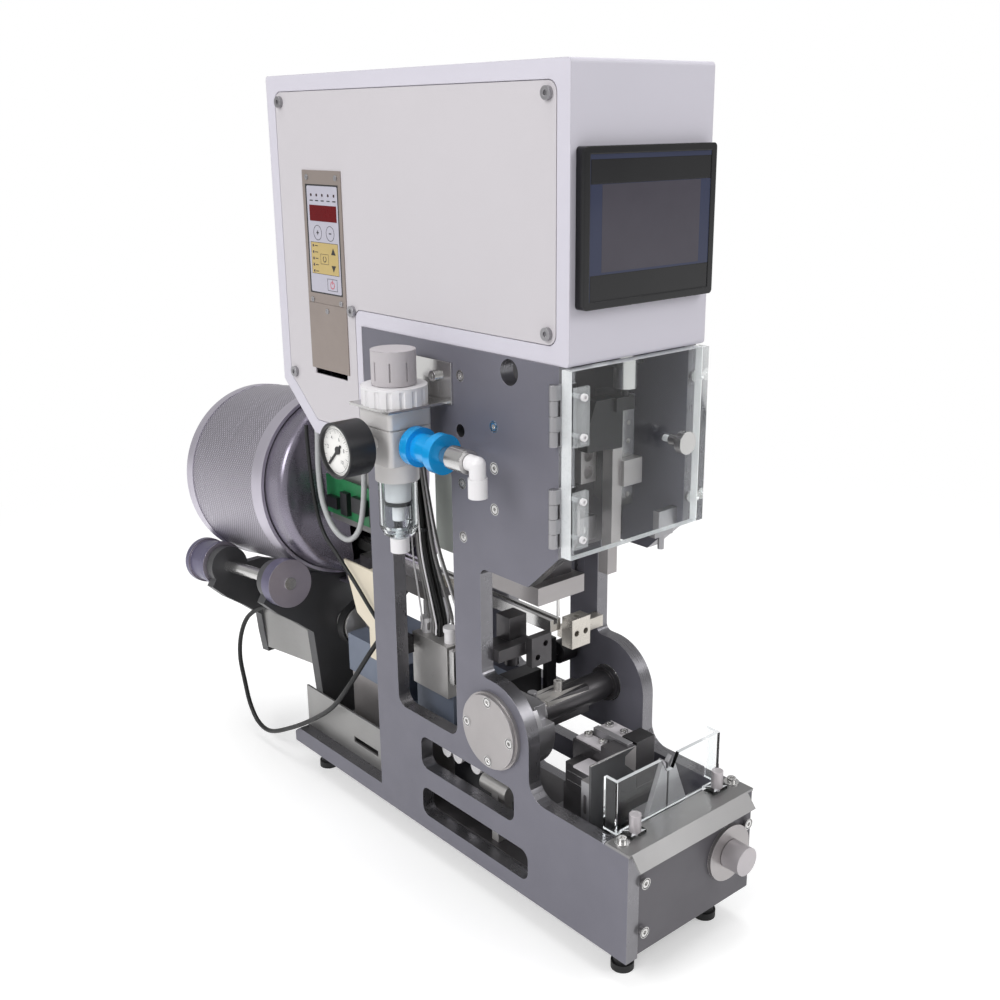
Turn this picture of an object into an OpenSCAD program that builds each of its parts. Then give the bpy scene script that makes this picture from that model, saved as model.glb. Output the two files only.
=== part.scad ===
// Bench machine that threads small rubber plugs onto wire ends.
// X runs across the machine, Y from the front panel to the feeding drum, Z up.
// The origin lies on the bench under the middle of the side plates.

/* [Side plates] */
// Length of the side plates, front to back
base_len = 454; // [440:1:480]
// Clear width between the two side plates
plate_gap = 115; // [112:0.5:120]
// Thickness of a side plate
plate_t = 12; // [10:0.5:14]
// Height of the feet
foot_h = 26; // [20:1:36]
// Diameter of a foot
foot_d = 18; // [14:1:24]
// Height of the front deck above the lower edge of the plates
deck_rise = 90; // [86:1:96]
// Height of the low rear tail of the plates
tail_h = 16; // [12:1:20]
// Distance from the front end of the base to the column
column_setback = 73.5; // [72:0.5:80]
// Depth of the column
column_depth = 231.5; // [228:0.5:240]
// Height of the column above the lower edge of the plates
column_rise = 432; // [425:1:450]
// Depth of the open throat under the head
throat_depth = 86.5; // [84:0.5:88]
// Height of the throat roof above the lower edge of the plates
throat_rise = 265; // [262:1:270]
// Width of the tall window in each plate
window_w = 81; // [70:1:82]
// Height of the tall window
window_h = 231; // [200:1:235]

/* [Transfer shaft] */
// Distance from the front end of the base to the transfer shaft
shaft_setback = 147; // [145:0.5:149]
// Height of the transfer shaft above the lower edge of the plates
shaft_rise = 133; // [130:0.5:136]
// Diameter of the transfer shaft
shaft_d = 24; // [20:1:26]
// Diameter of the shaft journals in their bearings
journal_d = 15; // [12:1:18]
// Outer diameter of a shaft bearing
bearing_d = 32; // [28:1:34]
// Radius of the round boss of each plate
boss_r = 41.5; // [38:0.5:43]
// Diameter of the bearing cover
cover_d = 64; // [60:1:68]

/* [Cabinet] */
// Width of the white cabinet
cabinet_w = 137; // [132:1:139]
// Height of the cabinet above the column
cabinet_h = 194.5; // [185:0.5:210]
// Overhang of the cabinet in front of the column
cabinet_front_over = 8.5; // [6:0.5:9]
// Length of the cabinet lobe behind the column
lobe_len = 127.5; // [124:0.5:132]
// Drop of the lobe below the cabinet floor
lobe_drop = 103; // [95:1:106]
// Wall thickness of the cabinet
cabinet_wall = 3.2; // [2.5:0.1:4]

/* [Operator panel] */
// Width of the operator panel
hmi_w = 128; // [120:1:130]
// Height of the operator panel
hmi_h = 103.5; // [96:0.5:108]
// Thickness of its bezel in front of the cabinet
hmi_t = 8; // [6:0.5:10]

/* [Door] */
// Width of the clear door
door_w = 131.5; // [128:0.5:131.5]
// Height of the clear door
door_h = 133; // [125:1:133]
// Thickness of the clear door
door_t = 9.8; // [8:0.1:10]

/* [Feeding drum] */
// Outer radius of the feeding drum
drum_r = 90; // [86:1:91]
// Length of the feeding drum
drum_len = 153; // [145:1:160]
// Downward tilt of the drum axis towards the rear, in degrees
drum_tilt = 7.2; // [6:0.1:8]
// Radius of the drive rollers
roller_r = 23; // [21:0.5:24]

/* [Air regulator] */
// Width of the square regulator body
regulator_w = 40; // [36:1:42]
// Diameter of the pressure knob
regulator_knob_d = 34; // [30:1:36]
// Diameter of the scalloped ring nut
ring_nut_d = 50; // [46:1:52]
// Diameter of the clear bowl
bowl_d = 30; // [27:1:34]
// Diameter of the pressure gauge
gauge_d = 42; // [38:1:44]

/* [Strokes] */
// Downward stroke of the press carriage
press_stroke = 40; // [20:1:42]
// Downward stroke of the needle block
needle_stroke = 12; // [6:0.5:12.5]
// Inward travel of each gripper jaw
jaw_stroke = 1; // [0.5:0.1:1.1]

/* [Hidden] */
$fn = 48;

// Clearances and overruns
fit = 0.05;
run_fit = 0.03;
gap = 0.3;
slide_gap = 0.3;
over = 1;
screw_gap = 0.1;
arc_steps = 6;

// Places that follow the side plates
plate_in = plate_gap / 2;
plate_out = plate_in + plate_t;
base_front = -base_len / 2;
base_back = base_len / 2;
plate_z = foot_h;
deck_z = plate_z + deck_rise;
tail_z = plate_z + tail_h;
column_front = base_front + column_setback;
column_back = column_front + column_depth;
column_top = plate_z + column_rise;
throat_y = column_front + throat_depth;
roof_z = plate_z + throat_rise;
head_h = column_top - roof_z;
shaft_y = base_front + shaft_setback;
shaft_z = plate_z + shaft_rise;
feeder_low_z = plate_z + 84;
feeder_top_z = plate_z + 122;
track_z = shaft_z + 63;
drum_y = base_back - 3;
drum_z = plate_z + 257;

// Outline of a side plate
chin_run = 32;
chin_rise = 30;
tail_nose = 8;
tail_nose_h = 10;
deck_r = 17;
boss_fillet = 6;
roof_fillet = 7;
window_post = 32.5;
window_sill = 108;
window_r = 10;
window_y = throat_y + window_post;
window_z = plate_z + window_sill;
slot_back = base_front + 243;
slot_r = 8;
upper_slot_len = 120;
upper_slot_h = 30;
upper_slot_rise = 60.3;
lower_slot_len = 136;
lower_slot_h = 27;
lower_slot_rise = 14.6;
service_d = 19;
service_in = 51;
service_drop = 11.1;
small_hole_d = 10;
small_hole_in = 106.8;
small_hole_drop = 63.3;
inner_slot_w = 12;
inner_slot_h = 16;

// Screws, shank diameter and head diameter and head height
m3 = 3;
m4 = 4;
m5 = 5;
head_share = 1.7;
head_tall_share = 0.8;
hex_share = 0.85;
hex_deep_share = 0.5;
thread_len = 10;

// Screws that hold the two head plates between the side plates, as shares of the head
plate_screw_shares = [
    [0.458, 0.87], [0.296, 0.68], [0.296, 0.493], [0.296, 0.304], [0.458, 0.12], [0.458, 0.375]
];
head_plate_share = 0.296;
rear_plate_share = 0.458;
head_plate_t = 11;
head_plate_y = column_front + head_plate_share * column_depth;
rear_plate_y = column_front + rear_plate_share * column_depth;
head_front = head_plate_y - head_plate_t / 2;
head_rear = head_plate_y + head_plate_t / 2;
rear_front = rear_plate_y - head_plate_t / 2;
head_plate_lift = 5;
head_plate_z = roof_z + head_plate_lift;

// Line between two points, moved sideways by d to the left of its direction
function unit(v) = v / norm(v);
function left_of(v) = [-v[1], v[0]];
function cross2(a, b) = a[0] * b[1] - a[1] * b[0];
function meet(p, u, q, v) = p + u * cross2(q - p, v) / cross2(u, v);
function inset_corner(a, b, c, d) =
    let (u = unit(b - a), v = unit(c - b))
    meet(a + left_of(u) * d, u, b + left_of(v) * d, v);
// Outline drawn anticlockwise, moved inwards by d
function inset(p, d) = [
    for (i = [0 : len(p) - 1])
        inset_corner(p[(i + len(p) - 1) % len(p)], p[i], p[(i + 1) % len(p)], d)
];
// Arc that rounds corner b between a and c with radius r
function corner(a, b, c, r) =
    r <= 0 ? [b] :
    let (
        u = unit(a - b), v = unit(c - b),
        half = acos(u * v) / 2,
        middle = b + unit(u + v) * r / sin(half),
        start = b + u * r / tan(half) - middle,
        finish = b + v * r / tan(half) - middle,
        first = atan2(start[1], start[0]),
        turn = atan2(cross2(start, finish), start * finish)
    )
    [for (i = [0 : arc_steps]) middle + r * [cos(first + turn * i / arc_steps),
                                             sin(first + turn * i / arc_steps)]];
// Outline with one radius for each corner
function rounded(p, r) = [
    for (i = [0 : len(p) - 1])
        each corner(p[(i + len(p) - 1) % len(p)], p[i], p[(i + 1) % len(p)],
                    is_list(r) ? r[i] : r)
];
function box_points(a, b, c, d) = [[a, b], [c, b], [c, d], [a, d]];

// Solid from a side outline in Y and Z, between two places on X
module side_slab(x0, x1) {
    translate([x0, 0, 0])
        rotate([90, 0, 90])
            linear_extrude(x1 - x0) children();
}

// Solid from a front outline in X and Z, between two places on Y
module front_slab(y0, y1) {
    translate([0, y1, 0])
        rotate([90, 0, 0])
            linear_extrude(y1 - y0) children();
}

module block(a, b) {
    translate(a) cube(b - a);
}

// Round bar along X, Y or Z from place a over a length
module bar_x(p, d, l) {
    translate(p) rotate([0, 90, 0]) cylinder(d = d, h = l);
}

module bar_y(p, d, l) {
    translate(p) rotate([-90, 0, 0]) cylinder(d = d, h = l);
}

module bar_z(p, d, l) {
    translate(p) cylinder(d = d, h = l);
}

// Socket screw whose head stands on z = 0, with its shank below
module screw(d, l, head_d = 0, head_h = 0) {
    wide = head_d > 0 ? head_d : d * head_share;
    tall = head_h > 0 ? head_h : d * head_tall_share;
    difference() {
        union() {
            cylinder(d = wide, h = tall, $fn = 32);
            translate([0, 0, -l]) cylinder(d = d, h = l + over / 2, $fn = 24);
        }
        translate([0, 0, tall * (1 - hex_deep_share)])
            cylinder(d = d * hex_share, h = tall, $fn = 6);
    }
}

// Hole that clears a screw's shank
module screw_hole(d, l) {
    translate([0, 0, -l - screw_gap]) cylinder(d = d + 2 * screw_gap, h = l + 2 * over);
}

// Turns something that points up so that it points along an axis
module face_left() { rotate([0, -90, 0]) children(); }
module face_right() { rotate([0, 90, 0]) children(); }
module face_front() { rotate([90, 0, 0]) children(); }

// Side plates
plate_points = [
    [base_front, plate_z], [base_back, plate_z], [base_back, plate_z + tail_nose_h],
    [base_back - tail_nose, tail_z], [column_back, tail_z], [column_back, column_top],
    [column_front, column_top], [column_front, roof_z + chin_rise],
    [column_front + chin_run, roof_z], [throat_y, roof_z], [throat_y, shaft_z + boss_r],
    [shaft_y, shaft_z + boss_r], [shaft_y - boss_r, shaft_z], [shaft_y - boss_r, deck_z],
    [base_front, deck_z]
];
plate_radii = [0, 0, 0, 0, 0, 0, 0, 0, 0, roof_fillet, boss_fillet, 0, 0, deck_r, 0];
plate_drill = plate_in + plate_t / 2;
front_panel_t = 4;

module plate_outline() {
    difference() {
        union() {
            polygon(rounded(plate_points, plate_radii));
            translate([shaft_y, shaft_z]) circle(boss_r, $fn = 96);
        }
        translate([window_y, window_z])
            polygon(rounded(box_points(0, 0, window_w, window_h), window_r));
        translate([slot_back - upper_slot_len, plate_z + upper_slot_rise])
            polygon(rounded(box_points(0, 0, upper_slot_len, upper_slot_h), slot_r));
        translate([slot_back - lower_slot_len, plate_z + lower_slot_rise])
            polygon(rounded(box_points(0, 0, lower_slot_len, lower_slot_h), slot_r));
    }
}

function plate_screw_place(s) = [column_front + s[0] * column_depth, roof_z + s[1] * head_h];

// The holes of one plate, for the plate that stands on the +X side
module plate_holes() {
    for (s = plate_screw_shares) {
        p = plate_screw_place(s);
        translate([plate_in - over, p[0], p[1]]) rotate([0, 90, 0])
            cylinder(d = m4 + 2 * screw_gap, h = plate_t + 2 * over);
        translate([plate_out - m4 * head_tall_share, p[0], p[1]]) rotate([0, 90, 0])
            cylinder(d = m4 * head_share + 2 * gap, h = plate_t);
    }
    translate([plate_in - over, shaft_y, shaft_z]) rotate([0, 90, 0])
        cylinder(d = bearing_d + 2 * fit, h = plate_t + 2 * over);
    for (k = [0 : 3])
        translate([plate_out - cover_screw_len, shaft_y, shaft_z])
            rotate([90 * k, 0, 0]) translate([0, 0, cover_screw_r])
                rotate([0, 90, 0]) cylinder(d = m4 + 2 * screw_gap, h = plate_t + over);
}

module side_plate_right() {
    color([0.33, 0.33, 0.36]) difference() {
        side_slab(plate_in, plate_out) plate_outline();
        plate_holes();
        block([plate_in - over, base_front - over, plate_z - over],
              [plate_out + over, base_front + front_panel_t, deck_z + over]);
        block([plate_in - over, needle_slot_y, needle_slot_z],
              [plate_in + plate_t / 3, needle_slot_y + inner_slot_w, needle_slot_z + inner_slot_h]);
        for (z = catch_places) translate([plate_drill, column_front, z]) face_front()
            screw_hole(m3, thread_len);
        for (z = panel_screw_places) translate([panel_screw_right, base_front + front_panel_t, z])
            face_front() screw_hole(m4, thread_len);
    }
}

module side_plate_left() {
    color([0.42, 0.42, 0.46]) difference() {
        mirror([1, 0, 0]) difference() {
            side_slab(plate_in, plate_out) plate_outline();
            plate_holes();
        }
        translate([-plate_out - over, column_front + service_in, column_top - service_drop])
            rotate([0, 90, 0]) cylinder(d = service_d, h = plate_t + 2 * over);
        translate([-plate_out - over, column_front + small_hole_in, column_top - small_hole_drop])
            rotate([0, 90, 0]) cylinder(d = small_hole_d, h = plate_t + 2 * over);
        for (p = bracket_screw_places) translate(p) face_left() screw_hole(m5, thread_len);
    }
}

// Floor between the plates, and the bar that ties them under the deck
floor_t = 10;
floor_end = 5;
tie_h = 14;
tie_t = 12;
foot_inset = 10;
foot_front_in = 24;
foot_back_in = 24;
foot_pad_h = 6;
foot_neck = 4;

module base_floor() {
    color([0.5, 0.5, 0.52]) difference() {
        union() {
            block([-plate_in, base_front + front_panel_t, tail_z - floor_t],
                  [plate_in, base_back - floor_end, tail_z]);
            block([-plate_in, column_back - tie_t, tail_z],
                  [plate_in, column_back, tail_z + tie_h]);
        }
        for (p = foot_places) translate([p[0], p[1], tail_z - floor_t])
            translate([0, 0, -over]) cylinder(d = m5 + 2 * fit, h = floor_t - over);
        for (z = panel_screw_places) translate([panel_screw_left, base_front + front_panel_t, z])
            face_front() screw_hole(m4, thread_len);
    }
}

foot_places = [
    for (sx = [-1, 1]) for (y = [base_front + foot_front_in, base_back - foot_back_in])
        [sx * (plate_in - foot_inset), y]
];

module feet() {
    color([0.25, 0.25, 0.26]) for (p = foot_places) translate([p[0], p[1], 0]) {
        cylinder(d = foot_d, h = foot_pad_h);
        cylinder(d = foot_d - foot_neck, h = tail_z - floor_t);
        cylinder(d = m5, h = tail_z - floor_t / 2);
    }
}

// Thin steel covers: angle walls over the rear floor, a light baffle behind the column window,
// a cream guard beside the track and the sheet between the drum cradle plates
sheet_t = 2;
rear_wall_h = 43;
rear_wall_end = 7;
rear_flange = 12;
rear_slot_in = 22;
rear_slot_len = 39;
rear_slot_h = 6;
rear_slot_rise = 13;
baffle_w = 26;
baffle_drop = 204;
guard_x = -plate_in + 6.5;
guard_front = 24;
guard_len = 48;
guard_z = feeder_top_z + 26;
guard_h = 61;
guard_slant = 18;
guard_lift = 14;
guard_post = 14;
cradle_sheet_x = -45;
cradle_sheet_top = -134;
cradle_sheet_h = 45;

module rear_wall() {
    difference() {
        union() {
            block([-plate_in, column_back, tail_z], [-plate_in + sheet_t, base_back - rear_wall_end,
                                                     tail_z + rear_wall_h]);
            block([-plate_in, column_back, tail_z],
                  [-plate_in + rear_flange, base_back - rear_wall_end, tail_z + sheet_t]);
        }
        block([-plate_in - over, column_back + rear_slot_in, tail_z + rear_slot_rise],
              [-plate_in + sheet_t + over, column_back + rear_slot_in + rear_slot_len,
               tail_z + rear_slot_rise + rear_slot_h]);
        translate([rear_screw[0], rear_screw[1], tail_z + sheet_t]) screw_hole(m4, thread_len);
    }
}

module cover_sheets() {
    color([0.7, 0.69, 0.66]) {
        rear_wall();
        mirror([1, 0, 0]) rear_wall();
        block([-sheet_t / 2, column_back - baffle_w - sheet_t, column_top - baffle_drop],
              [sheet_t / 2, column_back - sheet_t, column_top]);
    }
    color([0.87, 0.83, 0.74]) {
        side_slab(guard_x - sheet_t / 2, guard_x + sheet_t / 2) polygon([
            [column_back + guard_front, guard_z + guard_lift], [column_back + guard_front, guard_z],
            [column_back + guard_front + guard_len - guard_slant, guard_z + guard_lift],
            [column_back + guard_front + guard_len, guard_z + guard_h],
            [column_back + guard_front, guard_z + guard_h]
        ]);
        block([guard_x + sheet_t / 2, column_back + guard_front, feeder_top_z],
              [-feeder_w / 2, column_back + guard_front + guard_post, guard_z + guard_h - sheet_t]);
    }
    color([0.6, 0.6, 0.6]) in_drum() for (m = [0, 1]) mirror([m, 0, 0])
        block([cradle_sheet_x - sheet_t / 2, cradle_near + cradle_t, cradle_sheet_top - cradle_sheet_h],
              [cradle_sheet_x + sheet_t / 2, cradle_far, cradle_sheet_top]);
}
rear_screw = [-plate_in + rear_flange / 2, base_back - foot_back_in - foot_d];

// Front panel with the bush of its knob
panel_rise = 3.5;
panel_left_in = 1;
panel_screw_left = -plate_in + 4;
panel_screw_right = plate_in + plate_t / 2;
panel_screw_places = [plate_z + 63.5, plate_z + 22];
knob_x = 42;
knob_z = plate_z + 47;
knob_flange_d = 46;
knob_flange_t = 3;
knob_shaft_d = 8;
knob_bush_len = 12;

module front_panel() {
    color([0.36, 0.36, 0.39]) difference() {
        block([-plate_in - panel_left_in + over, base_front, plate_z + panel_rise],
              [plate_out, base_front + front_panel_t, deck_z]);
        bar_y([knob_x, base_front - over, knob_z], knob_shaft_d + 2 * over,
              front_panel_t + 2 * over);
        for (z = panel_screw_places) for (x = [panel_screw_left, panel_screw_right])
            translate([x, base_front, z]) face_front() screw_hole(m4, thread_len);
    }
    color([0.7, 0.7, 0.72]) difference() {
        union() {
            bar_y([knob_x, base_front - knob_flange_t, knob_z], knob_flange_d, knob_flange_t);
            bar_y([knob_x, base_front - over, knob_z], knob_shaft_d + 2 * over - 2 * screw_gap,
                  knob_bush_len);
        }
        bar_y([knob_x, base_front - knob_flange_t - over, knob_z], knob_shaft_d + 2 * run_fit,
              knob_bush_len + knob_flange_t + 2 * over);
    }
}

// Polished deck cover with its turned-down lip
deck_t = 2;
deck_len = 24;
deck_over = 1;
lip_run = 9;
lip_drop = 11;
lip_left = -plate_out + 2.5;
lip_right = plate_in + 4.5;
deck_screws = [[-plate_in - 3, 15], [plate_in + 6.3, 16]];
thumb_screws = [[-plate_in + 11.5, 16], [plate_in - 11.5, 16]];

module deck_cover() {
    y = base_front - deck_over;
    color([0.82, 0.82, 0.82]) difference() {
        union() {
            block([-plate_out, y, deck_z], [plate_out, y + deck_len, deck_z + deck_t]);
            side_slab(lip_left, lip_right) polygon([
                [y + deck_t, deck_z + deck_t], [y, deck_z + deck_t],
                [y - lip_run, deck_z + deck_t - lip_drop],
                [y - lip_run + deck_t / 2, deck_z + deck_t / 2 - lip_drop], [y, deck_z]
            ]);
        }
        for (p = deck_screws) translate([p[0], base_front + p[1], deck_z + deck_t])
            screw_hole(m4, deck_t + over);
        for (p = thumb_screws) translate([p[0], base_front + p[1], deck_z + deck_t])
            screw_hole(m4, deck_t + over);
    }
}

// Clear guards: the bent guard on the deck and the narrow strip beside the door
guard_t = 3;
guard_rise = 43;
guard_setback = 24;
guard_wall_y = base_front + guard_setback;
guard_back = 13;
notch_top = 10;
notch_deep = 11;
guard_tab_w = 16;
guard_tab_deep = 12;
strip_gap = 0.6;

module clear_guards() {
    color([0.85, 0.92, 0.95, 0.4]) {
        difference() {
            union() {
                block([-plate_in, guard_wall_y, deck_z + deck_t],
                      [plate_in, guard_wall_y + guard_t, deck_z + deck_t + guard_rise]);
                block([-plate_in, guard_wall_y, deck_z + deck_t],
                      [-plate_in + guard_t, guard_wall_y + guard_back,
                       deck_z + deck_t + guard_rise]);
                block([plate_in - guard_t, guard_wall_y, deck_z + deck_t],
                      [plate_in, guard_wall_y + guard_back, deck_z + deck_t + guard_rise]);
                for (p = thumb_screws)
                    block([p[0] - guard_tab_w / 2, guard_wall_y - guard_tab_deep, deck_z + deck_t],
                          [p[0] + guard_tab_w / 2, guard_wall_y, deck_z + deck_t + guard_t]);
            }
            front_slab(guard_wall_y - over, guard_wall_y + guard_t + over) polygon([
                [-notch_top, deck_z + deck_t + guard_rise + over],
                [-notch_top / 3, deck_z + deck_t + guard_rise - notch_deep],
                [notch_top / 3, deck_z + deck_t + guard_rise - notch_deep],
                [notch_top, deck_z + deck_t + guard_rise + over]
            ]);
            for (p = thumb_screws) translate([p[0], base_front + p[1], deck_z + deck_t + guard_t])
                screw_hole(m4, guard_t + over);
        }
        difference() {
            block([door_right + strip_gap, door_front, door_z],
                  [plate_out, door_back, door_z + door_h]);
            for (z = catch_places) translate([plate_drill, door_back, z])
                bar_y([0, -door_t - over, 0], m3, door_t + 2 * over);
        }
    }
}

// Guide blocks at the work point: the two tapered wire guides, and the nests beside the needle
vee_back = 16;
vee_t = 4;
vee_foot = 22;
vee_tip = 5;
nest_right = [4.5, 24.5];
nest_y = [shaft_y - 12, shaft_y];
nest_z = [shaft_z + 50, shaft_z + 75];
nest_left = [-30, -9];
nest_left_z = [shaft_z + 41, shaft_z + 66];
nest_back = shaft_y + 16;
nest_arm_t = 10;
nest_bore = 5;
nest_right_shares = [0.25, 0.75];
nest_left_shares = [0.3, 0.7];

module wire_guide(side) {
    y = guard_wall_y + guard_t + slide_gap;
    front_slab(y, y + vee_t) polygon([
        [side * over, deck_z + slide_gap], [side * vee_foot, deck_z + slide_gap],
        [side * vee_tip, shaft_z], [side * over, shaft_z - vee_tip]
    ]);
    block([side > 0 ? over : -vee_foot, y, deck_z - tie_t],
          [side > 0 ? vee_foot : -over, y + vee_back, deck_z + slide_gap]);
}

module guide_blocks() {
    color([0.75, 0.75, 0.76]) {
        wire_guide(-1);
        wire_guide(1);
        block([-plate_in, guard_wall_y + guard_t + slide_gap, deck_z - 2 * tie_t],
              [plate_in, guard_wall_y + guard_t + slide_gap + vee_back, deck_z - tie_t]);
    }
    color([0.8, 0.78, 0.74]) difference() {
        union() {
            block([nest_right[0], nest_y[0], nest_z[0]], [nest_right[1], nest_y[1], nest_z[1]]);
            block([nest_right[1] - nest_arm_t, nest_y[1] - over, nest_z[0]],
                  [nest_right[1], nest_back, nest_z[0] + nest_arm_t]);
            block([nest_right[1] - over, nest_back - nest_arm_t, nest_z[0]],
                  [plate_in, nest_back, nest_z[0] + nest_arm_t]);
        }
        for (k = nest_right_shares)
            bar_y([nest_right[0] + k * (nest_right[1] - nest_right[0]), nest_y[0] - over,
                   nest_z[0] + (nest_z[1] - nest_z[0]) / 2], nest_bore, thread_len);
        bar_z([(nest_right[0] + nest_right[1]) / 2, (nest_y[0] + nest_y[1]) / 2,
               nest_z[1] - thread_len], nest_bore, thread_len + over);
    }
    color([0.35, 0.35, 0.37]) difference() {
        union() {
            block([nest_left[0], nest_y[0] + nest_arm_t, nest_left_z[0]],
                  [nest_left[1], nest_y[1] + nest_arm_t / 2, nest_left_z[1]]);
            block([nest_left[0], nest_y[1] + nest_arm_t / 2 - over, nest_left_z[0] + nest_arm_t],
                  [nest_left[0] + nest_arm_t, nest_back, nest_left_z[0] + 2 * nest_arm_t]);
            block([-plate_in, nest_back - nest_arm_t, nest_left_z[0] + nest_arm_t],
                  [nest_left[0] + over, nest_back, nest_left_z[0] + 2 * nest_arm_t]);
        }
        for (k = nest_left_shares)
            bar_y([nest_left[0] + k * (nest_left[1] - nest_left[0]), nest_y[0] + nest_arm_t - over,
                   nest_left_z[0] + k * (nest_left_z[1] - nest_left_z[0])], nest_bore, thread_len);
    }
}

// White cabinet
cabinet_x = cabinet_w / 2;
cabinet_front = column_front - cabinet_front_over;
lobe_gap = 2;
lobe_front = column_back + lobe_gap;
lobe_back = column_back + lobe_len;
cabinet_top = column_top + cabinet_h;
lobe_z = column_top - lobe_drop;
lobe_cut_run = 47;
lobe_cut_rise = 42;
cabinet_r = 3;
// Side outline of the cabinet with the front of its lobe at y
function cabinet_outline(y) = [
    [cabinet_front, column_top], [y, column_top], [y, lobe_z],
    [lobe_back - lobe_cut_run, lobe_z], [lobe_back, lobe_z + lobe_cut_rise],
    [lobe_back, cabinet_top], [cabinet_front, cabinet_top]
];
cabinet_points = cabinet_outline(lobe_front);
cabinet_radii = [cabinet_r, 0, cabinet_r, cabinet_r, cabinet_r, cabinet_r, cabinet_r];
cover_inset = 13;
cover_step_out = 4.5;
cover_ledge = 6;
cover_t = 1.6;
cover_gap = 0.6;
cover_r = 8;
cover_points = inset(cabinet_outline(lobe_front - cover_step_out), cover_inset);
cabinet_screw_d = 5;
cabinet_head_d = 9;
cabinet_head_h = 3;
cabinet_screw_in = 7.6;
cover_corner_in = [2.7, -2.1];
cover_inset_points = inset(cover_points, cabinet_screw_in);
cover_screw_points = concat([cover_points[1] + cover_corner_in],
                            [for (k = [0, 4, 5, 6]) cover_inset_points[k]]);

// Controller strip in the cabinet's side
strip_y = lobe_front + 19.5;
strip_w = 56.5;
strip_z = column_top - 43.5;
strip_h = 164;
strip_edge = 4;
strip_end = 11;
strip_low = 5;
controller_deep = 30;
keypad_in = 4;
keypad_h = 88.5;
keypad_drop = 11;
keypad_t = 0.4;
strip_proud = 0.8;
strip_line_up = 56;
strip_line_w = 0.5;
strip_screw_in = 7;
strip_screw_drop = 5.5;
strip_screw_len = 2;
strip_head_d = 4.5;
strip_head_h = 0.6;
strip_screws = concat(
    [for (y = [strip_y + strip_screw_in, strip_y + strip_w - strip_screw_in])
        for (z = [strip_z + strip_h - strip_screw_drop, strip_z + strip_line_up + strip_screw_drop / 2])
            [y, z]],
    [[strip_y + strip_w / 2, strip_z + strip_line_up - strip_screw_drop]]
);

module strip_opening() {
    block([-cabinet_x - over, strip_y + strip_edge, strip_z - strip_low],
          [-cabinet_x + cabinet_wall + over, strip_y + strip_w - strip_edge,
           strip_z + strip_h - strip_end]);
}

hmi_x = 0.5;
hmi_z = column_top + 38;
hmi_back_deep = 24;
hmi_back_in = 8;
hmi_r = 3;
screen_in = 5;
screen_t = 1;
shaft_hole_d = 22;

module cabinet_shell() {
    color([0.93, 0.93, 0.94]) difference() {
        side_slab(-cabinet_x, cabinet_x) polygon(rounded(cabinet_points, cabinet_radii));
        side_slab(-cabinet_x + cabinet_wall, cabinet_x - cabinet_wall)
            polygon(inset(cabinet_points, cabinet_wall));
        side_slab(-cabinet_x - over, -cabinet_x + cabinet_wall + over)
            polygon(rounded(inset(cover_points, cover_ledge), cover_r));
        side_slab(-cabinet_x - over, -cabinet_x + cover_t)
            polygon(rounded(inset(cover_points, -cover_gap), cover_r));
        block([hmi_x - hmi_w / 2 + hmi_back_in - gap, cabinet_front - over, hmi_z + hmi_back_in - gap],
              [hmi_x + hmi_w / 2 - hmi_back_in + gap, cabinet_front + cabinet_wall + over,
               hmi_z + hmi_h - hmi_back_in + gap]);
        bar_z([sleeve_x, sleeve_y, column_top - over], shaft_hole_d, cabinet_wall + 2 * over);
        for (p = cover_screw_points) translate([-cabinet_x + cover_t, p[0], p[1]])
            face_left() screw_hole(cabinet_screw_d, cabinet_wall);
    }
}

module cabinet_cover() {
    color([0.94, 0.94, 0.95]) difference() {
        side_slab(-cabinet_x, -cabinet_x + cover_t) polygon(rounded(cover_points, cover_r));
        strip_opening();
        for (p = strip_screws) translate([-cabinet_x, p[0], p[1]]) face_left()
            screw_hole(m3, strip_screw_len);
        for (p = cover_screw_points) translate([-cabinet_x, p[0], p[1]])
            face_left() screw_hole(cabinet_screw_d, cabinet_wall);
    }
}

module cabinet_screws() {
    color([0.6, 0.6, 0.6]) {
        for (p = cover_screw_points) translate([-cabinet_x, p[0], p[1]])
            face_left() screw(cabinet_screw_d, cabinet_wall, cabinet_head_d, cabinet_head_h);
        for (p = strip_screws) translate([-cabinet_x - strip_proud, p[0], p[1]])
            face_left() screw(m3, strip_screw_len, strip_head_d, strip_head_h);
    }
}

module controller_panel() {
    x = -cabinet_x - strip_proud;
    color([0.62, 0.56, 0.5]) difference() {
        union() {
            block([x, strip_y, strip_z], [-cabinet_x, strip_y + strip_w, strip_z + strip_h]);
            block([-cabinet_x - keypad_t / 2, strip_y + strip_edge + over, strip_z + strip_end],
                  [-cabinet_x + controller_deep, strip_y + strip_w - strip_edge - over,
                   strip_z + strip_h - strip_end - over]);
        }
        block([x - over, strip_y + keypad_in, strip_z + strip_h - keypad_drop - keypad_h],
              [x + keypad_t, strip_y + strip_w - keypad_in, strip_z + strip_h - keypad_drop]);
        block([x - over, strip_y - over, strip_z + strip_line_up],
              [x + keypad_t, strip_y + strip_w + over, strip_z + strip_line_up + strip_line_w]);
        for (p = strip_screws) translate([x, p[0], p[1]]) face_left()
            screw_hole(m3, strip_screw_len);
    }
    color([0.12, 0.1, 0.1])
        block([x, strip_y + keypad_in + fit, strip_z + strip_h - keypad_drop - keypad_h + fit],
              [x + keypad_t, strip_y + strip_w - keypad_in - fit,
               strip_z + strip_h - keypad_drop - fit]);
}

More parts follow.
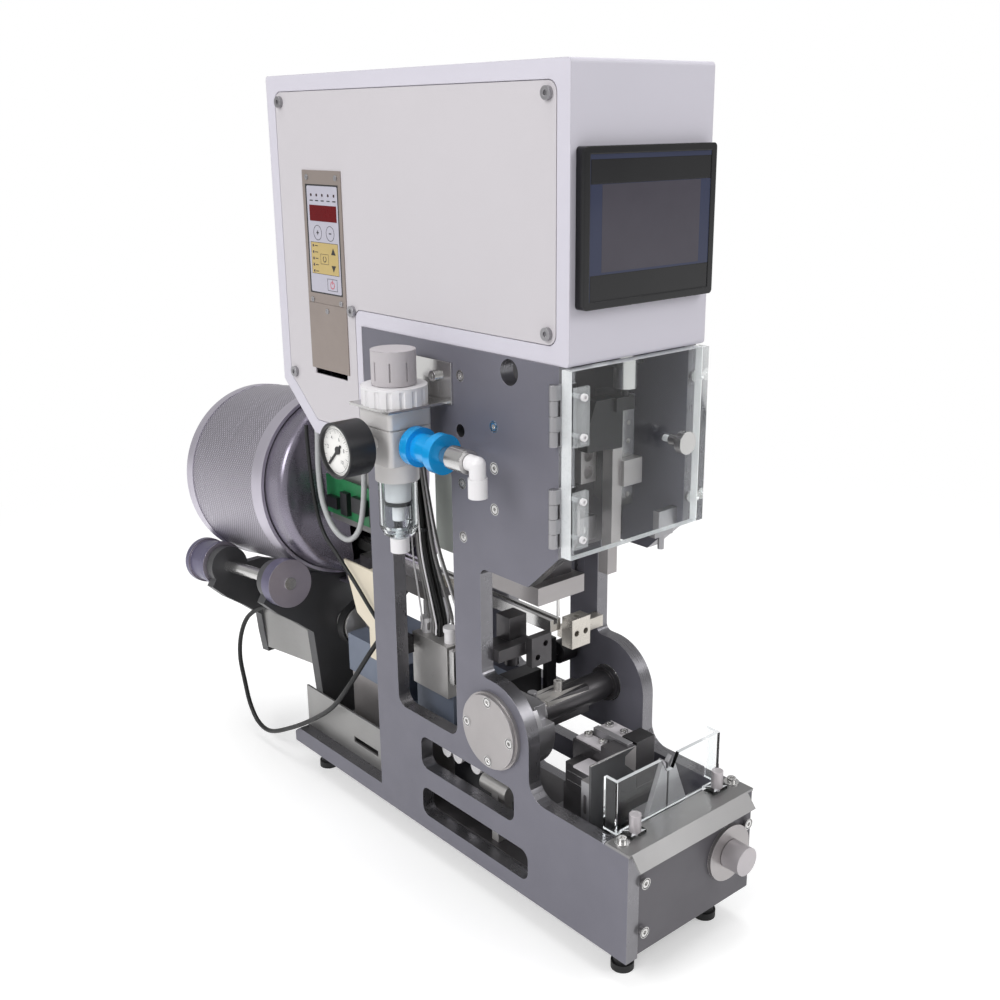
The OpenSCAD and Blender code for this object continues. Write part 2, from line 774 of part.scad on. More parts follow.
module operator_panel() {
    y = cabinet_front - hmi_t;
    color([0.06, 0.06, 0.07]) difference() {
        union() {
            front_slab(y, cabinet_front) translate([hmi_x - hmi_w / 2, hmi_z])
                polygon(rounded(box_points(0, 0, hmi_w, hmi_h), hmi_r));
            block([hmi_x - hmi_w / 2 + hmi_back_in, cabinet_front, hmi_z + hmi_back_in],
                  [hmi_x + hmi_w / 2 - hmi_back_in, cabinet_front + hmi_back_deep,
                   hmi_z + hmi_h - hmi_back_in]);
        }
        block([hmi_x - hmi_w / 2 + screen_in, y - over, hmi_z + screen_in],
              [hmi_x + hmi_w / 2 - screen_in, y + screen_t, hmi_z + hmi_h - screen_in]);
    }
    color([0.2, 0.23, 0.27])
        block([hmi_x - hmi_w / 2 + screen_in + fit, y + screen_t / 2, hmi_z + screen_in + fit],
              [hmi_x + hmi_w / 2 - screen_in - fit, y + screen_t, hmi_z + hmi_h - screen_in - fit]);
}

// Bearing covers and bearings of the transfer shaft
cover_t1 = 3;
cover_t2 = 3;
cover_step = 1.5;
cover_screw_r = 25.5;
cover_screw_len = 10;

module bearing_cover() {
    difference() {
        union() {
            bar_x([plate_out, shaft_y, shaft_z], cover_d, cover_t1);
            bar_x([plate_out, shaft_y, shaft_z], cover_d - 2 * cover_step, cover_t1 + cover_t2);
        }
        for (k = [0 : 3]) translate([plate_out, shaft_y, shaft_z]) rotate([90 * k, 0, 0])
            translate([0, 0, cover_screw_r]) {
                bar_x([-over, 0, 0], m4 + 2 * screw_gap, cover_t1 + cover_t2 + 2 * over);
                bar_x([cover_t1, 0, 0], m4 * head_share + 2 * gap, cover_t2 + over);
            }
    }
}

module bearing_covers() {
    color([0.72, 0.71, 0.69]) {
        bearing_cover();
        mirror([1, 0, 0]) bearing_cover();
    }
}

module shaft_bearing() {
    difference() {
        bar_x([plate_in, shaft_y, shaft_z], bearing_d, plate_t);
        bar_x([plate_in - over, shaft_y, shaft_z], journal_d + 2 * run_fit, plate_t + 2 * over);
    }
}

module shaft_bearings() {
    color([0.75, 0.75, 0.77]) {
        shaft_bearing();
        mirror([1, 0, 0]) shaft_bearing();
    }
}

// All fixed socket screws, the deck's thumb screws and the round door catches
catch_d = 9;
catch_t = 2.5;
catch_shares = [0.3, 0.856];
catch_places = [for (k = catch_shares) roof_z + k * head_h];
thumb_d = 9;
thumb_h = 14;
washer_d = 12;
washer_t = 1;

module cover_screw_set() {
    for (k = [0 : 3]) translate([plate_out + cover_t1, shaft_y, shaft_z]) rotate([90 * k, 0, 0])
        translate([0, 0, cover_screw_r]) face_right()
            screw(m4, cover_t1 + cover_screw_len - over);
}

module plate_screw_set() {
    for (s = plate_screw_shares) {
        p = plate_screw_place(s);
        translate([plate_out - m4 * head_tall_share, p[0], p[1]]) face_right()
            screw(m4, plate_t);
    }
}

module frame_screws() {
    color([0.62, 0.62, 0.63]) {
        for (m = [0, 1]) mirror([m, 0, 0]) {
            cover_screw_set();
            plate_screw_set();
        }
        for (z = panel_screw_places) for (x = [panel_screw_left, panel_screw_right])
            translate([x, base_front, z]) face_front() screw(m4, thread_len);
        for (p = deck_screws) translate([p[0], base_front + p[1], deck_z + deck_t]) {
            cylinder(d = washer_d, h = washer_t);
            translate([0, 0, washer_t]) screw(m4, deck_t + washer_t - fit);
        }
        for (p = bracket_screw_places) translate(p) translate([-bracket_t, 0, 0]) face_left()
            screw(m5, bracket_t + thread_len - over);
        translate([rear_screw[0], rear_screw[1], tail_z + sheet_t]) screw(m4, sheet_t);
        for (z = catch_places) translate([plate_drill, column_front, z]) {
            bar_y([0, -catch_t, 0], catch_d, catch_t);
            bar_y([0, -over, 0], m3, thread_len);
        }
    }
    color([0.8, 0.8, 0.78]) for (p = thumb_screws)
        translate([p[0], base_front + p[1], deck_z + deck_t + guard_t]) {
            cylinder(d = thumb_d, h = thumb_h, $fn = 24);
            translate([0, 0, -guard_t]) cylinder(d = m4, h = guard_t + over);
        }
}

// Two cross plates in the head, and the rails that stand on them
rail_w = 12;
rail_t = 8;
rail_x = 30;
rail_drop = 38;
rail_len = press_stroke + 46;
rail_out = 30.5;
rail_front = head_front - rail_out;
post_w = 10;
needle_rail_len = needle_stroke + 88;
rail_hole_d = 4;
rail_pitch = 14;

module head_plates() {
    color([0.3, 0.3, 0.33]) {
        difference() {
            block([-plate_in, head_front, head_plate_z], [plate_in, head_rear, column_top]);
            for (s = plate_screw_shares) if (s[0] == head_plate_share) head_screw_hole(s);
        }
        difference() {
            block([-plate_in, rear_front, head_plate_z],
                  [plate_in, rear_front + head_plate_t, column_top]);
            for (s = plate_screw_shares) if (s[0] == rear_plate_share) head_screw_hole(s);
        }
    }
}

module head_screw_hole(s) {
    p = plate_screw_place(s);
    for (m = [0, 1]) mirror([m, 0, 0]) translate([plate_in, p[0], p[1]]) face_right()
        screw_hole(m4, thread_len);
}

module head_rails() {
    color([0.78, 0.78, 0.8]) {
        difference() {
            block([rail_x - rail_w / 2, rail_front, column_top - rail_drop - rail_len],
                  [rail_x + rail_w / 2, rail_front + rail_t, column_top - rail_drop]);
            for (k = [1 : floor(rail_len / rail_pitch)])
                bar_y([rail_x, rail_front - over, column_top - rail_drop - k * rail_pitch + rail_w / 2],
                      rail_hole_d, rail_t / 2 + over);
        }
        block([rail_x - post_w / 2, rail_front + rail_t, column_top - rail_drop - rail_len],
              [rail_x + post_w / 2, head_front, column_top - rail_drop]);
        block([-rail_w / 2, rear_front - rail_t, head_plate_z],
              [rail_w / 2, rear_front, head_plate_z + needle_rail_len]);
    }
}

// Static brackets and blocks in the head
sleeve_d = 18;
sleeve_x = 21.5;
sleeve_out = 4;
sleeve_y = rail_front - sleeve_out;
sleeve_len = 31;
sleeve_clamp_h = 14;
sleeve_clamp_wall = 5;
stop_block = [-8.8, 6.5];
stop_block_deep = 20;
stop_block_z = [column_top - 103, column_top - 73.4];
low_block_z = [column_top - 149, column_top - 130];
counterbore_d = 10;
stop_bore_shares = [0.27, 0.73];
ear_w = 20;
ear_h = 22;
ear_t = 6;

module head_brackets() {
    color([0.28, 0.28, 0.3]) difference() {
        union() {
            block([sleeve_x - sleeve_d / 2 - sleeve_clamp_wall, sleeve_y - sleeve_d / 4,
                   column_top - sleeve_clamp_h],
                  [sleeve_x + sleeve_d / 2 + sleeve_clamp_wall, head_front, column_top]);
        }
        bar_z([sleeve_x, sleeve_y, column_top - sleeve_clamp_h - over], sleeve_d + 2 * fit,
              sleeve_clamp_h + 2 * over);
    }
    color([0.68, 0.68, 0.7]) difference() {
        block([stop_block[0], head_front - stop_block_deep, stop_block_z[0]],
              [stop_block[1], head_front, stop_block_z[1]]);
        for (k = stop_bore_shares)
            bar_y([(stop_block[0] + stop_block[1]) / 2, head_front - stop_block_deep - over,
                   stop_block_z[0] + k * (stop_block_z[1] - stop_block_z[0])],
                  counterbore_d, thread_len / 2);
    }
    color([0.6, 0.6, 0.6])
        block([stop_block[0], head_front - stop_block_deep, low_block_z[0]],
              [stop_block[1] + gap, head_front, low_block_z[1]]);
    color([0.7, 0.7, 0.7]) {
        block([plate_in - ear_w, column_front + ear_t, roof_z + chin_rise - ear_h / 2],
              [plate_in, column_front + 2 * ear_t, roof_z + chin_rise + ear_h / 2]);
        bar_z([plate_in - ear_w / 2, column_front + 1.5 * ear_t, roof_z + chin_rise - ear_h],
              m5, ear_h / 2);
    }
}

// Door, hinges and knob
door_gap = 2.7;
door_back = column_front - door_gap;
door_front = door_back - door_t;
door_left = -plate_out;
door_right = door_left + door_w;
door_drop = 1.5;
door_z = column_top - door_h - door_drop;
hinge_out = 4.5;
hinge_back = 0.5;
hinge_x = -plate_out - hinge_out;
hinge_y = column_front + hinge_back;
hinge_d = 6.6;
hinge_len = 43;
hinge_pin_d = 2.5;
hinge_leaf_t = 1.1;
hinge_leaf_w = 12;
hinge_rises = [7, 80];
knuckle_gap = 0.3;
knuckles = 4;
knuckle_len = hinge_len / knuckles;
pad_w = 13;
pad_t = 3;
pad_in = 1;
pad_screw_share = 0.18;
door_hole_d = 5;
knob_in = 31;
door_knob_z = column_top - 65;

module knuckle(k, bore) {
    difference() {
        translate([0, 0, k * knuckle_len + knuckle_gap / 2])
            cylinder(d = hinge_d, h = knuckle_len - knuckle_gap);
        translate([0, 0, -over]) cylinder(d = bore, h = hinge_len + 2 * over);
    }
}

// Leaf of a hinge with the knuckles whose number has the given remainder
module hinge_leaf(y, odd, bore) {
    x0 = hinge_d / 2 + gap;
    for (k = [0 : knuckles - 1]) if (k % 2 == odd) {
        knuckle(k, bore);
        translate([0, 0, k * knuckle_len + knuckle_gap / 2]) difference() {
            block([0, y, 0], [x0 + over, y + hinge_leaf_t, knuckle_len - knuckle_gap]);
            translate([0, 0, -over]) cylinder(d = bore + hinge_leaf_t, h = knuckle_len + over);
        }
    }
    block([x0, y, 0], [x0 + hinge_leaf_w, y + hinge_leaf_t, hinge_len]);
}

module hinge_leaves() {
    color([0.6, 0.6, 0.62]) for (r = hinge_rises) translate([hinge_x, hinge_y, door_z + r]) {
        hinge_leaf(column_front - hinge_leaf_t - hinge_y, 0, hinge_pin_d - fit);
        cylinder(d = hinge_pin_d, h = hinge_len);
    }
}

module door_hinges() {
    color([0.62, 0.62, 0.64]) for (r = hinge_rises) translate([hinge_x, hinge_y, door_z + r])
        difference() {
            hinge_leaf(door_back - hinge_y, 1, hinge_pin_d + 2 * run_fit);
            for (k = [pad_screw_share, 1 - pad_screw_share])
                translate([door_left - hinge_x + pad_w / 2 + pad_in, 0, k * hinge_len])
                    bar_y([0, -hinge_d, 0], m3 + 2 * screw_gap, 2 * hinge_d);
        }
    color([0.9, 0.93, 0.95]) for (r = hinge_rises) difference() {
        block([door_left + pad_in, door_front - pad_t, door_z + r + pad_in],
              [door_left + pad_in + pad_w, door_front, door_z + r + hinge_len - pad_in]);
        for (k = [pad_screw_share, 1 - pad_screw_share])
            bar_y([door_left + pad_w / 2 + pad_in, door_front - pad_t - over,
                   door_z + r + k * hinge_len], m3 + 2 * screw_gap, pad_t + 2 * over);
    }
    color([0.95, 0.95, 0.95]) for (r = hinge_rises) for (k = [pad_screw_share, 1 - pad_screw_share])
        translate([door_left + pad_w / 2 + pad_in, door_front - pad_t, door_z + r + k * hinge_len])
            face_front() screw(m3, pad_t + door_t + hinge_leaf_t);
}

module clear_door() {
    color([0.85, 0.92, 0.95, 0.35]) difference() {
        block([door_left, door_front, door_z], [door_right, door_back, door_z + door_h]);
        bar_y([knob_in, door_front - over, door_knob_z], door_hole_d + 2 * fit, door_t + 2 * over);
        for (r = hinge_rises) for (k = [pad_screw_share, 1 - pad_screw_share])
            bar_y([door_left + pad_w / 2 + pad_in, door_front - over, door_z + r + k * hinge_len],
                  m3 + 2 * screw_gap, door_t + 2 * over);
    }
}

door_knob_d = 17;
door_knob_len = 16;
door_knob_neck = 8;
door_knob_t = 6;

module door_knob() {
    color([0.75, 0.75, 0.75]) {
        bar_y([knob_in, door_front - door_knob_len, door_knob_z], door_knob_d, door_knob_t);
        bar_y([knob_in, door_front - door_knob_len, door_knob_z], door_knob_neck, door_knob_len);
        bar_y([knob_in, door_front - over, door_knob_z], door_hole_d, door_t + 2 * over);
    }
}

// Press carriage: the slider on the rail, the dark bracket, the long bar and the rod
bar_x0 = 8.5;
bar_w = 10;
bar_y0 = rail_front - bar_w / 2;
bar_top = column_top - 76;
bar_bottom = roof_z - 9;
bracket_top = column_top - 37;
bracket_left = -17.7;
bracket_low = column_top - 74;
bracket_step = 15;
bracket_slope = 8.2;
rod_d = 6;
slider_h = 20;
slider_t = 8;
arm_h = 10;

module press_carriage() {
    color([0.17, 0.17, 0.18]) {
        front_slab(bar_y0, bar_y0 + bar_w) polygon([
            [bracket_left, bracket_low], [bar_x0 + bar_w, bar_top],
            [bar_x0 + bar_w, bracket_top], [bracket_left + bracket_slope, bracket_top],
            [bracket_left, bracket_low + bracket_step]
        ]);
        block([bar_x0, rail_front - slide_gap - slider_t, bracket_top - arm_h],
              [sleeve_x + rod_d, rail_front - slide_gap, bracket_top]);
    }
    color([0.72, 0.71, 0.7]) {
        block([bar_x0, bar_y0, bar_bottom], [bar_x0 + bar_w, bar_y0 + bar_w, bar_top]);
        block([bar_x0 + bar_w - over, rail_front - slide_gap - slider_t, bar_top - arm_h - slider_h],
              [rail_x + rail_w / 2 + over, rail_front - slide_gap, bar_top - arm_h]);
    }
    color([0.85, 0.85, 0.86])
        bar_z([sleeve_x, sleeve_y, bracket_top], rod_d, sleeve_len - over);
}

// Needle block: the cross bar under the roof, its upright and the needle
needle_d = 2.4;
needle_len = 16;
needle_bar_z = roof_z - 39;
needle_bar_h = 15;
needle_bar_w = 50;
needle_bar_front = shaft_y - 4;
needle_bar_len = 62;
upright_w = 40;
upright_h = 78;
upright_t = 13;
upright_y = rear_front - rail_t - slide_gap - upright_t;
needle_rod_d = 5;
needle_rod_len = 70;
needle_slot_back = 33;
needle_slot_drop = 6;
needle_slot_y = needle_bar_front + needle_slot_back;
needle_slot_z = needle_bar_z - needle_slot_drop;

module needle_block() {
    color([0.42, 0.42, 0.44]) {
        block([-needle_bar_w / 2, needle_bar_front, needle_bar_z],
              [needle_bar_w / 2, needle_bar_front + needle_bar_len, needle_bar_z + needle_bar_h]);
        block([-upright_w / 2, upright_y, needle_bar_z + needle_bar_h],
              [upright_w / 2, upright_y + upright_t, needle_bar_z + needle_bar_h + upright_h]);
    }
    color([0.85, 0.85, 0.85]) {
        bar_z([0, shaft_y, needle_bar_z - needle_len], needle_d, needle_len);
        bar_z([0, upright_y + upright_t / 2, needle_bar_z + needle_bar_h + upright_h], needle_rod_d,
              needle_rod_len);
    }
}

// Transfer shaft with its cam, hub, flat and upright tube
cam_r = 37;
cam_t = 19;
cam_flat_share = 0.6;
cam_notch_shares = [0.25, 0.7];
cam_gap = 1;
hub_w = 46;
hub_x = 3;
hub_r = 12.5;
flat_h = 11;
flat_w = 20;
tube_d = 7;
tube_top = 20;
tube_x = 0;
clamp_d = 8;
clamp_x = -28;
collar_d = 30;
collar_t = 4;

module transfer_shaft() {
    color([0.35, 0.33, 0.33]) translate([0, shaft_y, shaft_z]) {
        bar_x([-plate_in + gap, 0, 0], shaft_d, plate_gap - 2 * gap);
        bar_x([-plate_out + gap, 0, 0], journal_d, 2 * (plate_out - gap));
        bar_x([plate_in - gap - collar_t, 0, 0], collar_d, collar_t);
    }
    color([0.38, 0.38, 0.4]) translate([-plate_in + cam_gap, shaft_y, shaft_z]) difference() {
        bar_x([0, 0, 0], 2 * cam_r, cam_t);
        block([-over, -cam_r - over, cam_r * cam_flat_share],
              [cam_t + over, cam_r + over, cam_r + over]);
        block([cam_t / 3, -cam_r - over, cam_r * cam_notch_shares[0]],
              [cam_t + over, -cam_r * cam_notch_shares[1], cam_r]);
    }
    color([0.66, 0.66, 0.67]) translate([hub_x, shaft_y, shaft_z]) {
        block([-hub_w / 2, -flat_w / 2, -hub_r], [hub_w / 2, flat_w / 2, flat_h]);
        difference() {
            bar_z([tube_x - hub_x, 0, flat_h - over], tube_d, tube_top - flat_h + over);
            bar_z([tube_x - hub_x, 0, flat_h], tube_d / 2, tube_top);
        }
    }
    color([0.55, 0.55, 0.56]) translate([clamp_x, shaft_y, shaft_z]) {
        bar_z([0, 0, shaft_d / 2 - over], clamp_d, tube_top - shaft_d / 2);
        bar_x([-clamp_d / 2, 0, 0], shaft_d + clamp_d / 2, clamp_d);
    }
}

// Stops and sensor posts behind the transfer shaft
stop_x = [-30, 22];
stop_y = [shaft_y + 44, shaft_y + 60];
stop_top = shaft_z + 8;
stop_low = shaft_z - 24;
blade_x = [24, 34];
blade_t = 6;
blade_h = 36;
bumper_d = 20;
bumper_len = 16;
bumper_z = shaft_z + 20;

module transfer_stops() {
    color([0.1, 0.1, 0.11]) {
        block([stop_x[0], stop_y[0], stop_low], [stop_x[1], stop_y[1], stop_top]);
        block([-plate_in, stop_y[0] + over, stop_low + over],
              [stop_x[0], stop_y[1] - over, stop_low + blade_t + over]);
    }
    color([0.2, 0.2, 0.21]) {
        block([blade_x[0], stop_y[0] - blade_t, stop_low],
              [blade_x[1], stop_y[0], shaft_z + blade_h]);
        block([stop_x[1], stop_y[0], stop_low], [plate_in, stop_y[1], stop_low + blade_t]);
        bar_x([blade_x[1], stop_y[0] - blade_t / 2, bumper_z], blade_t - over, bumper_len);
        bar_x([blade_x[1] + blade_t / 2, stop_y[0] - blade_t / 2, bumper_z], bumper_d, bumper_len);
    }
}

// Gripper: fixed base with a rail, the slide that runs on it and the two jaws
grip_x = [-34, 26];
grip_y = [base_front + 60, base_front + 104];
grip_base_z = tail_z + 42;
grip_rail_w = 12;
grip_rail_h = 8;
grip_slide_z = grip_base_z + grip_rail_h + slide_gap;
grip_slide_h = 26;
grip_stroke = 10;
grip_rail_back = 2 * grip_stroke;
grip_groove = 6;
jaw_z = grip_slide_z + grip_slide_h + slide_gap;
jaw_top = shaft_z - 2;
jaw_back = 46;
jaw_half_gap = jaw_stroke + 0.5;
jaw_pin_shares = [0.5, 0.85];
jaw_head_d = 7;
jaw_plate_t = 2.5;
jaw_plate_left = -50;
jaw_plate_z = jaw_z - 24;
jaw_arc_r = 22;
jaw_w = 22;
jaw_cap_h = 6;

module gripper_base() {
    color([0.3, 0.3, 0.32]) {
        block([grip_x[0], grip_y[0], tail_z], [grip_x[1], grip_y[1] + grip_rail_back, grip_base_z]);
    }
    color([0.75, 0.75, 0.76])
        block([-grip_rail_w / 2, grip_y[0], grip_base_z],
              [grip_rail_w / 2, grip_y[1] + grip_rail_back, grip_base_z + grip_rail_h]);
}

module gripper_slide() {
    color([0.45, 0.45, 0.47]) difference() {
        block([grip_x[0], grip_y[0], grip_slide_z],
              [grip_x[1], grip_y[1], grip_slide_z + grip_slide_h]);
        block([grip_x[0] - over, grip_y[0] + grip_groove, grip_slide_z + grip_groove],
              [grip_x[1] + over, grip_y[0] + 2 * grip_groove, grip_slide_z + 2 * grip_groove]);
    }
}

module jaw(side) {
    x0 = side > 0 ? jaw_half_gap : -jaw_w;
    x1 = side > 0 ? jaw_w : -jaw_half_gap;
    block([x0, grip_y[0], jaw_z], [x1, grip_y[0] + jaw_back, jaw_top - jaw_cap_h]);
    block([x0, grip_y[0], jaw_top - jaw_cap_h], [x1, grip_y[0] + jaw_back / 3, jaw_top]);
    for (k = jaw_pin_shares)
        translate([(x0 + x1) / 2, grip_y[0] + k * jaw_back, jaw_top - jaw_cap_h])
            difference() {
                cylinder(d = jaw_head_d, h = m4);
                translate([0, 0, m4 / 2]) cylinder(d = m4, h = m4, $fn = 6);
            }
}

module jaw_left() {
    color([0.2, 0.2, 0.21]) jaw(-1);
    color([0.75, 0.74, 0.72]) difference() {
        block([jaw_plate_left, grip_y[0] - jaw_plate_t, jaw_plate_z],
              [-jaw_half_gap, grip_y[0] - slide_gap, jaw_top]);
        bar_y([-jaw_half_gap, grip_y[0] - jaw_plate_t - over, jaw_plate_z], 2 * jaw_arc_r,
              jaw_plate_t + 2 * over);
    }
    color([0.75, 0.74, 0.72])
        block([-jaw_w, grip_y[0] - slide_gap, jaw_top - jaw_cap_h],
              [-jaw_half_gap, grip_y[0], jaw_top]);
}

module jaw_right() {
    color([0.25, 0.25, 0.26]) jaw(1);
}

// Linear feeder: base block, drive block, leaf springs and the track
feeder_w = 68;
feeder_y = [window_y + 48.5, column_back + 100];
feeder_base_w = 60;
spring_t = 1.5;
spring_w = 28;
spring_foot = 7.5;
spring_y = [column_back + 2, column_back + 91];
track_w = 11;
track_h = 10;
track_front = shaft_y + 3;
track_back = column_back + 119;
track_groove = 4;
bed_w = 28;
bed_h = 16;
bed_y = [column_back - 6, lobe_back - 25];
spring_gap = 0.7;
cyl_pad_z = plate_z + 114;

module feeder_base() {
    color([0.5, 0.5, 0.52])
        block([-feeder_base_w / 2, feeder_y[0], tail_z + tie_h + over],
              [feeder_base_w / 2, feeder_y[1], feeder_low_z]);
    color([0.5, 0.5, 0.52])
        block([-feeder_base_w / 2, feeder_y[0], tail_z],
              [feeder_base_w / 2, column_back - tie_t - over, tail_z + tie_h + over]);
    color([0.45, 0.5, 0.58]) {
        block([-feeder_w / 2, column_back + lobe_gap, feeder_low_z],
              [feeder_w / 2, feeder_y[1] - over, feeder_top_z]);
        block([-feeder_w / 2 - over, feeder_y[0], feeder_low_z],
              [feeder_w / 2, column_back - tie_t, cyl_pad_z]);
    }
}

module leaf_springs() {
    color([0.7, 0.7, 0.72]) for (y = spring_y) {
        block([-spring_w / 2, y, feeder_top_z],
              [spring_w / 2, y + spring_t, track_z - bed_h - spring_gap]);
        block([-spring_w / 2, y, feeder_top_z],
              [spring_w / 2, y + spring_foot, feeder_top_z + spring_foot]);
    }
}

module feed_track() {
    color([0.82, 0.82, 0.83]) difference() {
        block([-track_w / 2, track_front, track_z], [track_w / 2, track_back, track_z + track_h]);
        block([-track_groove / 2, track_front - over, track_z + track_h - track_groove],
              [track_groove / 2, track_back + over, track_z + track_h + over]);
    }
    color([0.5, 0.5, 0.52])
        block([-bed_w / 2, bed_y[0], track_z - bed_h], [bed_w / 2, bed_y[1], track_z]);
}

// Air cylinders: the press sleeve, the needle cylinder, the guided pusher and the low one
pusher_x = [-40, -8];
pusher_y = [window_y + 49.5, window_y + 98.5];
pusher_z = [cyl_pad_z + 15, cyl_pad_z + 48];
pusher_rod_d = 6;
needle_cyl_w = 22;
low_cyl_d = 16;
low_cyl = [-plate_in + 13.5, shaft_y + 8, plate_z + 62];
low_cyl_len = 32;
gate_x = [-36, -18];
gate_y = [shaft_y + 18, shaft_y + 34];
gate_z = [track_z - 20, needle_bar_z - needle_stroke - 2 * over];

module air_cylinders() {
    color([0.85, 0.85, 0.86]) difference() {
        bar_z([sleeve_x, sleeve_y, column_top - sleeve_len], sleeve_d, sleeve_len);
        bar_z([sleeve_x, sleeve_y, column_top - sleeve_len - over], rod_d + 2 * run_fit,
              sleeve_len + 2 * over);
    }
    color([0.78, 0.78, 0.8]) {
        difference() {
            block([pusher_x[0], pusher_y[0], pusher_z[0]], [pusher_x[1], pusher_y[1], pusher_z[1]]);
            for (x = pusher_rod_places) bar_y([x, pusher_y[0] - over, pusher_mid_z],
                pusher_rod_d + 2 * run_fit, pusher_y[1] - pusher_y[0] - over);
        }
        block([pusher_x[0], pusher_y[0], cyl_pad_z], [pusher_x[1], pusher_y[1], pusher_z[0]]);
        difference() {
            block([-needle_cyl_w / 2, upright_y + upright_t / 2 - needle_cyl_w / 2, needle_cyl_z],
                  [needle_cyl_w / 2, rear_front, column_top]);
            bar_z([0, upright_y + upright_t / 2, needle_cyl_z - over],
                  needle_rod_d + 2 * run_fit, column_top - needle_cyl_z);
        }
        bar_y([low_cyl[0], low_cyl[1], low_cyl[2]], low_cyl_d, low_cyl_len);
        block([low_cyl[0] - low_cyl_d / 2, low_cyl[1] + low_cyl_d / 2, tail_z],
              [low_cyl[0] + low_cyl_d / 2, low_cyl[1] + low_cyl_d, low_cyl[2]]);
    }
    color([0.4, 0.4, 0.42]) {
        block([gate_x[0], gate_y[0], gate_z[0]], [gate_x[1], gate_y[1], gate_z[1]]);
        bar_z([(gate_x[0] + gate_x[1]) / 2, (gate_y[0] + gate_y[1]) / 2, gate_z[0] - gate_tip],
              gate_tip_d, gate_tip + over);
        block([-plate_in, gate_y[0] + over, gate_z[0] + gate_tip],
              [gate_x[0], gate_y[1] - over, gate_z[0] + 2 * gate_tip]);
    }
}
gate_tip = 8;
gate_tip_d = 12;
needle_cyl_up = 57;
needle_cyl_z = needle_bar_z + needle_bar_h + upright_h + needle_cyl_up;
pusher_mid_z = (pusher_z[0] + pusher_z[1]) / 2;
pusher_rod_places = [pusher_x[0] + pusher_rod_d, (pusher_x[0] + pusher_x[1]) / 2,
                     pusher_x[1] - pusher_rod_d];
pusher_t = 6;
pusher_out = 3;

module pusher_plate() {
    color([0.75, 0.75, 0.77]) {
        block([pusher_x[0], pusher_y[0] - pusher_out - pusher_t, pusher_z[0] + over],
              [pusher_x[1], pusher_y[0] - pusher_out, pusher_z[1] - over]);
        for (x = pusher_rod_places)
            bar_y([x, pusher_y[0] - pusher_out - over, pusher_mid_z], pusher_rod_d,
                  pusher_y[1] - pusher_y[0] - 3 * over);
    }
}

// White push-in fittings on the cylinders and in the lower slots
fitting_d = 10;
fitting_h = 14;
fitting_ring_d = 12;
fitting_ring_h = 4;
pusher_fittings = [pusher_y[0] + 8, pusher_y[1] - 9];

module fitting() {
    cylinder(d = fitting_d, h = fitting_h);
    translate([0, 0, fitting_h - fitting_ring_h]) cylinder(d = fitting_ring_d, h = fitting_ring_h);
}

module air_fittings() {
    color([0.92, 0.92, 0.9]) {
        for (y = pusher_fittings) translate([pusher_x[0] + fitting_d, y, pusher_z[1]]) fitting();
        for (y = upper_fittings) translate([valve_x, y, valve_fit_z[1]]) face_left() fitting();
        for (y = lower_fittings) translate([valve_x, y, valve_fit_z[0]]) face_left() fitting();
    }
    color([0.14, 0.14, 0.15])
        block([valve_x, valve_y[0], tail_z], [valve_x + valve_w, valve_y[1], valve_top]);
}
valve_x = -36;
valve_w = 24;
valve_y = [slot_back - 62, slot_back - 3];
valve_top = plate_z + 86;
upper_fittings = [slot_back - 49, slot_back - 25, slot_back - 10];
lower_fittings = [slot_back - 44, slot_back - 14];
valve_fit_z = [plate_z + 28, plate_z + 72];

// Driver board on its tray under the cabinet lobe
tray_x = -37;
tray_t = 1.5;
tray_y = [column_back + 6, drum_y - 35.5];
tray_low = lobe_z - 93;
board_t = 1.6;
board_gap = 3;
board_z = [lobe_z - 85, lobe_z - 49];
board_post_shares = [0.06, 0.94];
tray_flange = 18;
chip_shares = [[0.08, 0.1, 0.2, 0.5], [0.35, 0.3, 0.2, 0.4], [0.62, 0.12, 0.1, 0.6],
               [0.78, 0.2, 0.16, 0.3]];
chip_t = 5;
clamp_z = plate_z + 154;
clamp_h = 16;
clamp_len = 22;
clamp_w = 13;

module driver_board() {
    color([0.7, 0.7, 0.7]) {
        block([tray_x, tray_y[0], tray_low], [tray_x + tray_t, tray_y[1], lobe_z]);
        block([tray_x, tray_y[0], lobe_z - tray_t], [tray_x + tray_flange, tray_y[1], lobe_z]);
        for (k = board_post_shares)
            bar_x([tray_x - board_gap, tray_y[0] + k * (tray_y[1] - tray_y[0]),
                   (board_z[0] + board_z[1]) / 2], m5, board_gap);
    }
    color([0.15, 0.42, 0.25])
        block([tray_x - board_gap - board_t, tray_y[0], board_z[0]],
              [tray_x - board_gap, tray_y[1], board_z[1]]);
    color([0.1, 0.1, 0.1]) for (c = chip_shares) {
        y = tray_y[0] + c[0] * (tray_y[1] - tray_y[0]);
        z = board_z[0] + c[1] * (board_z[1] - board_z[0]);
        block([tray_x - board_gap - board_t - chip_t, y, z],
              [tray_x - board_gap - board_t, y + c[2] * (tray_y[1] - tray_y[0]),
               z + c[3] * (board_z[1] - board_z[0])]);
    }
    color([0.12, 0.12, 0.13])
        block([-plate_in, column_back - clamp_len, clamp_z - clamp_h / 2],
              [-plate_in + clamp_w, column_back, clamp_z + clamp_h / 2]);
}

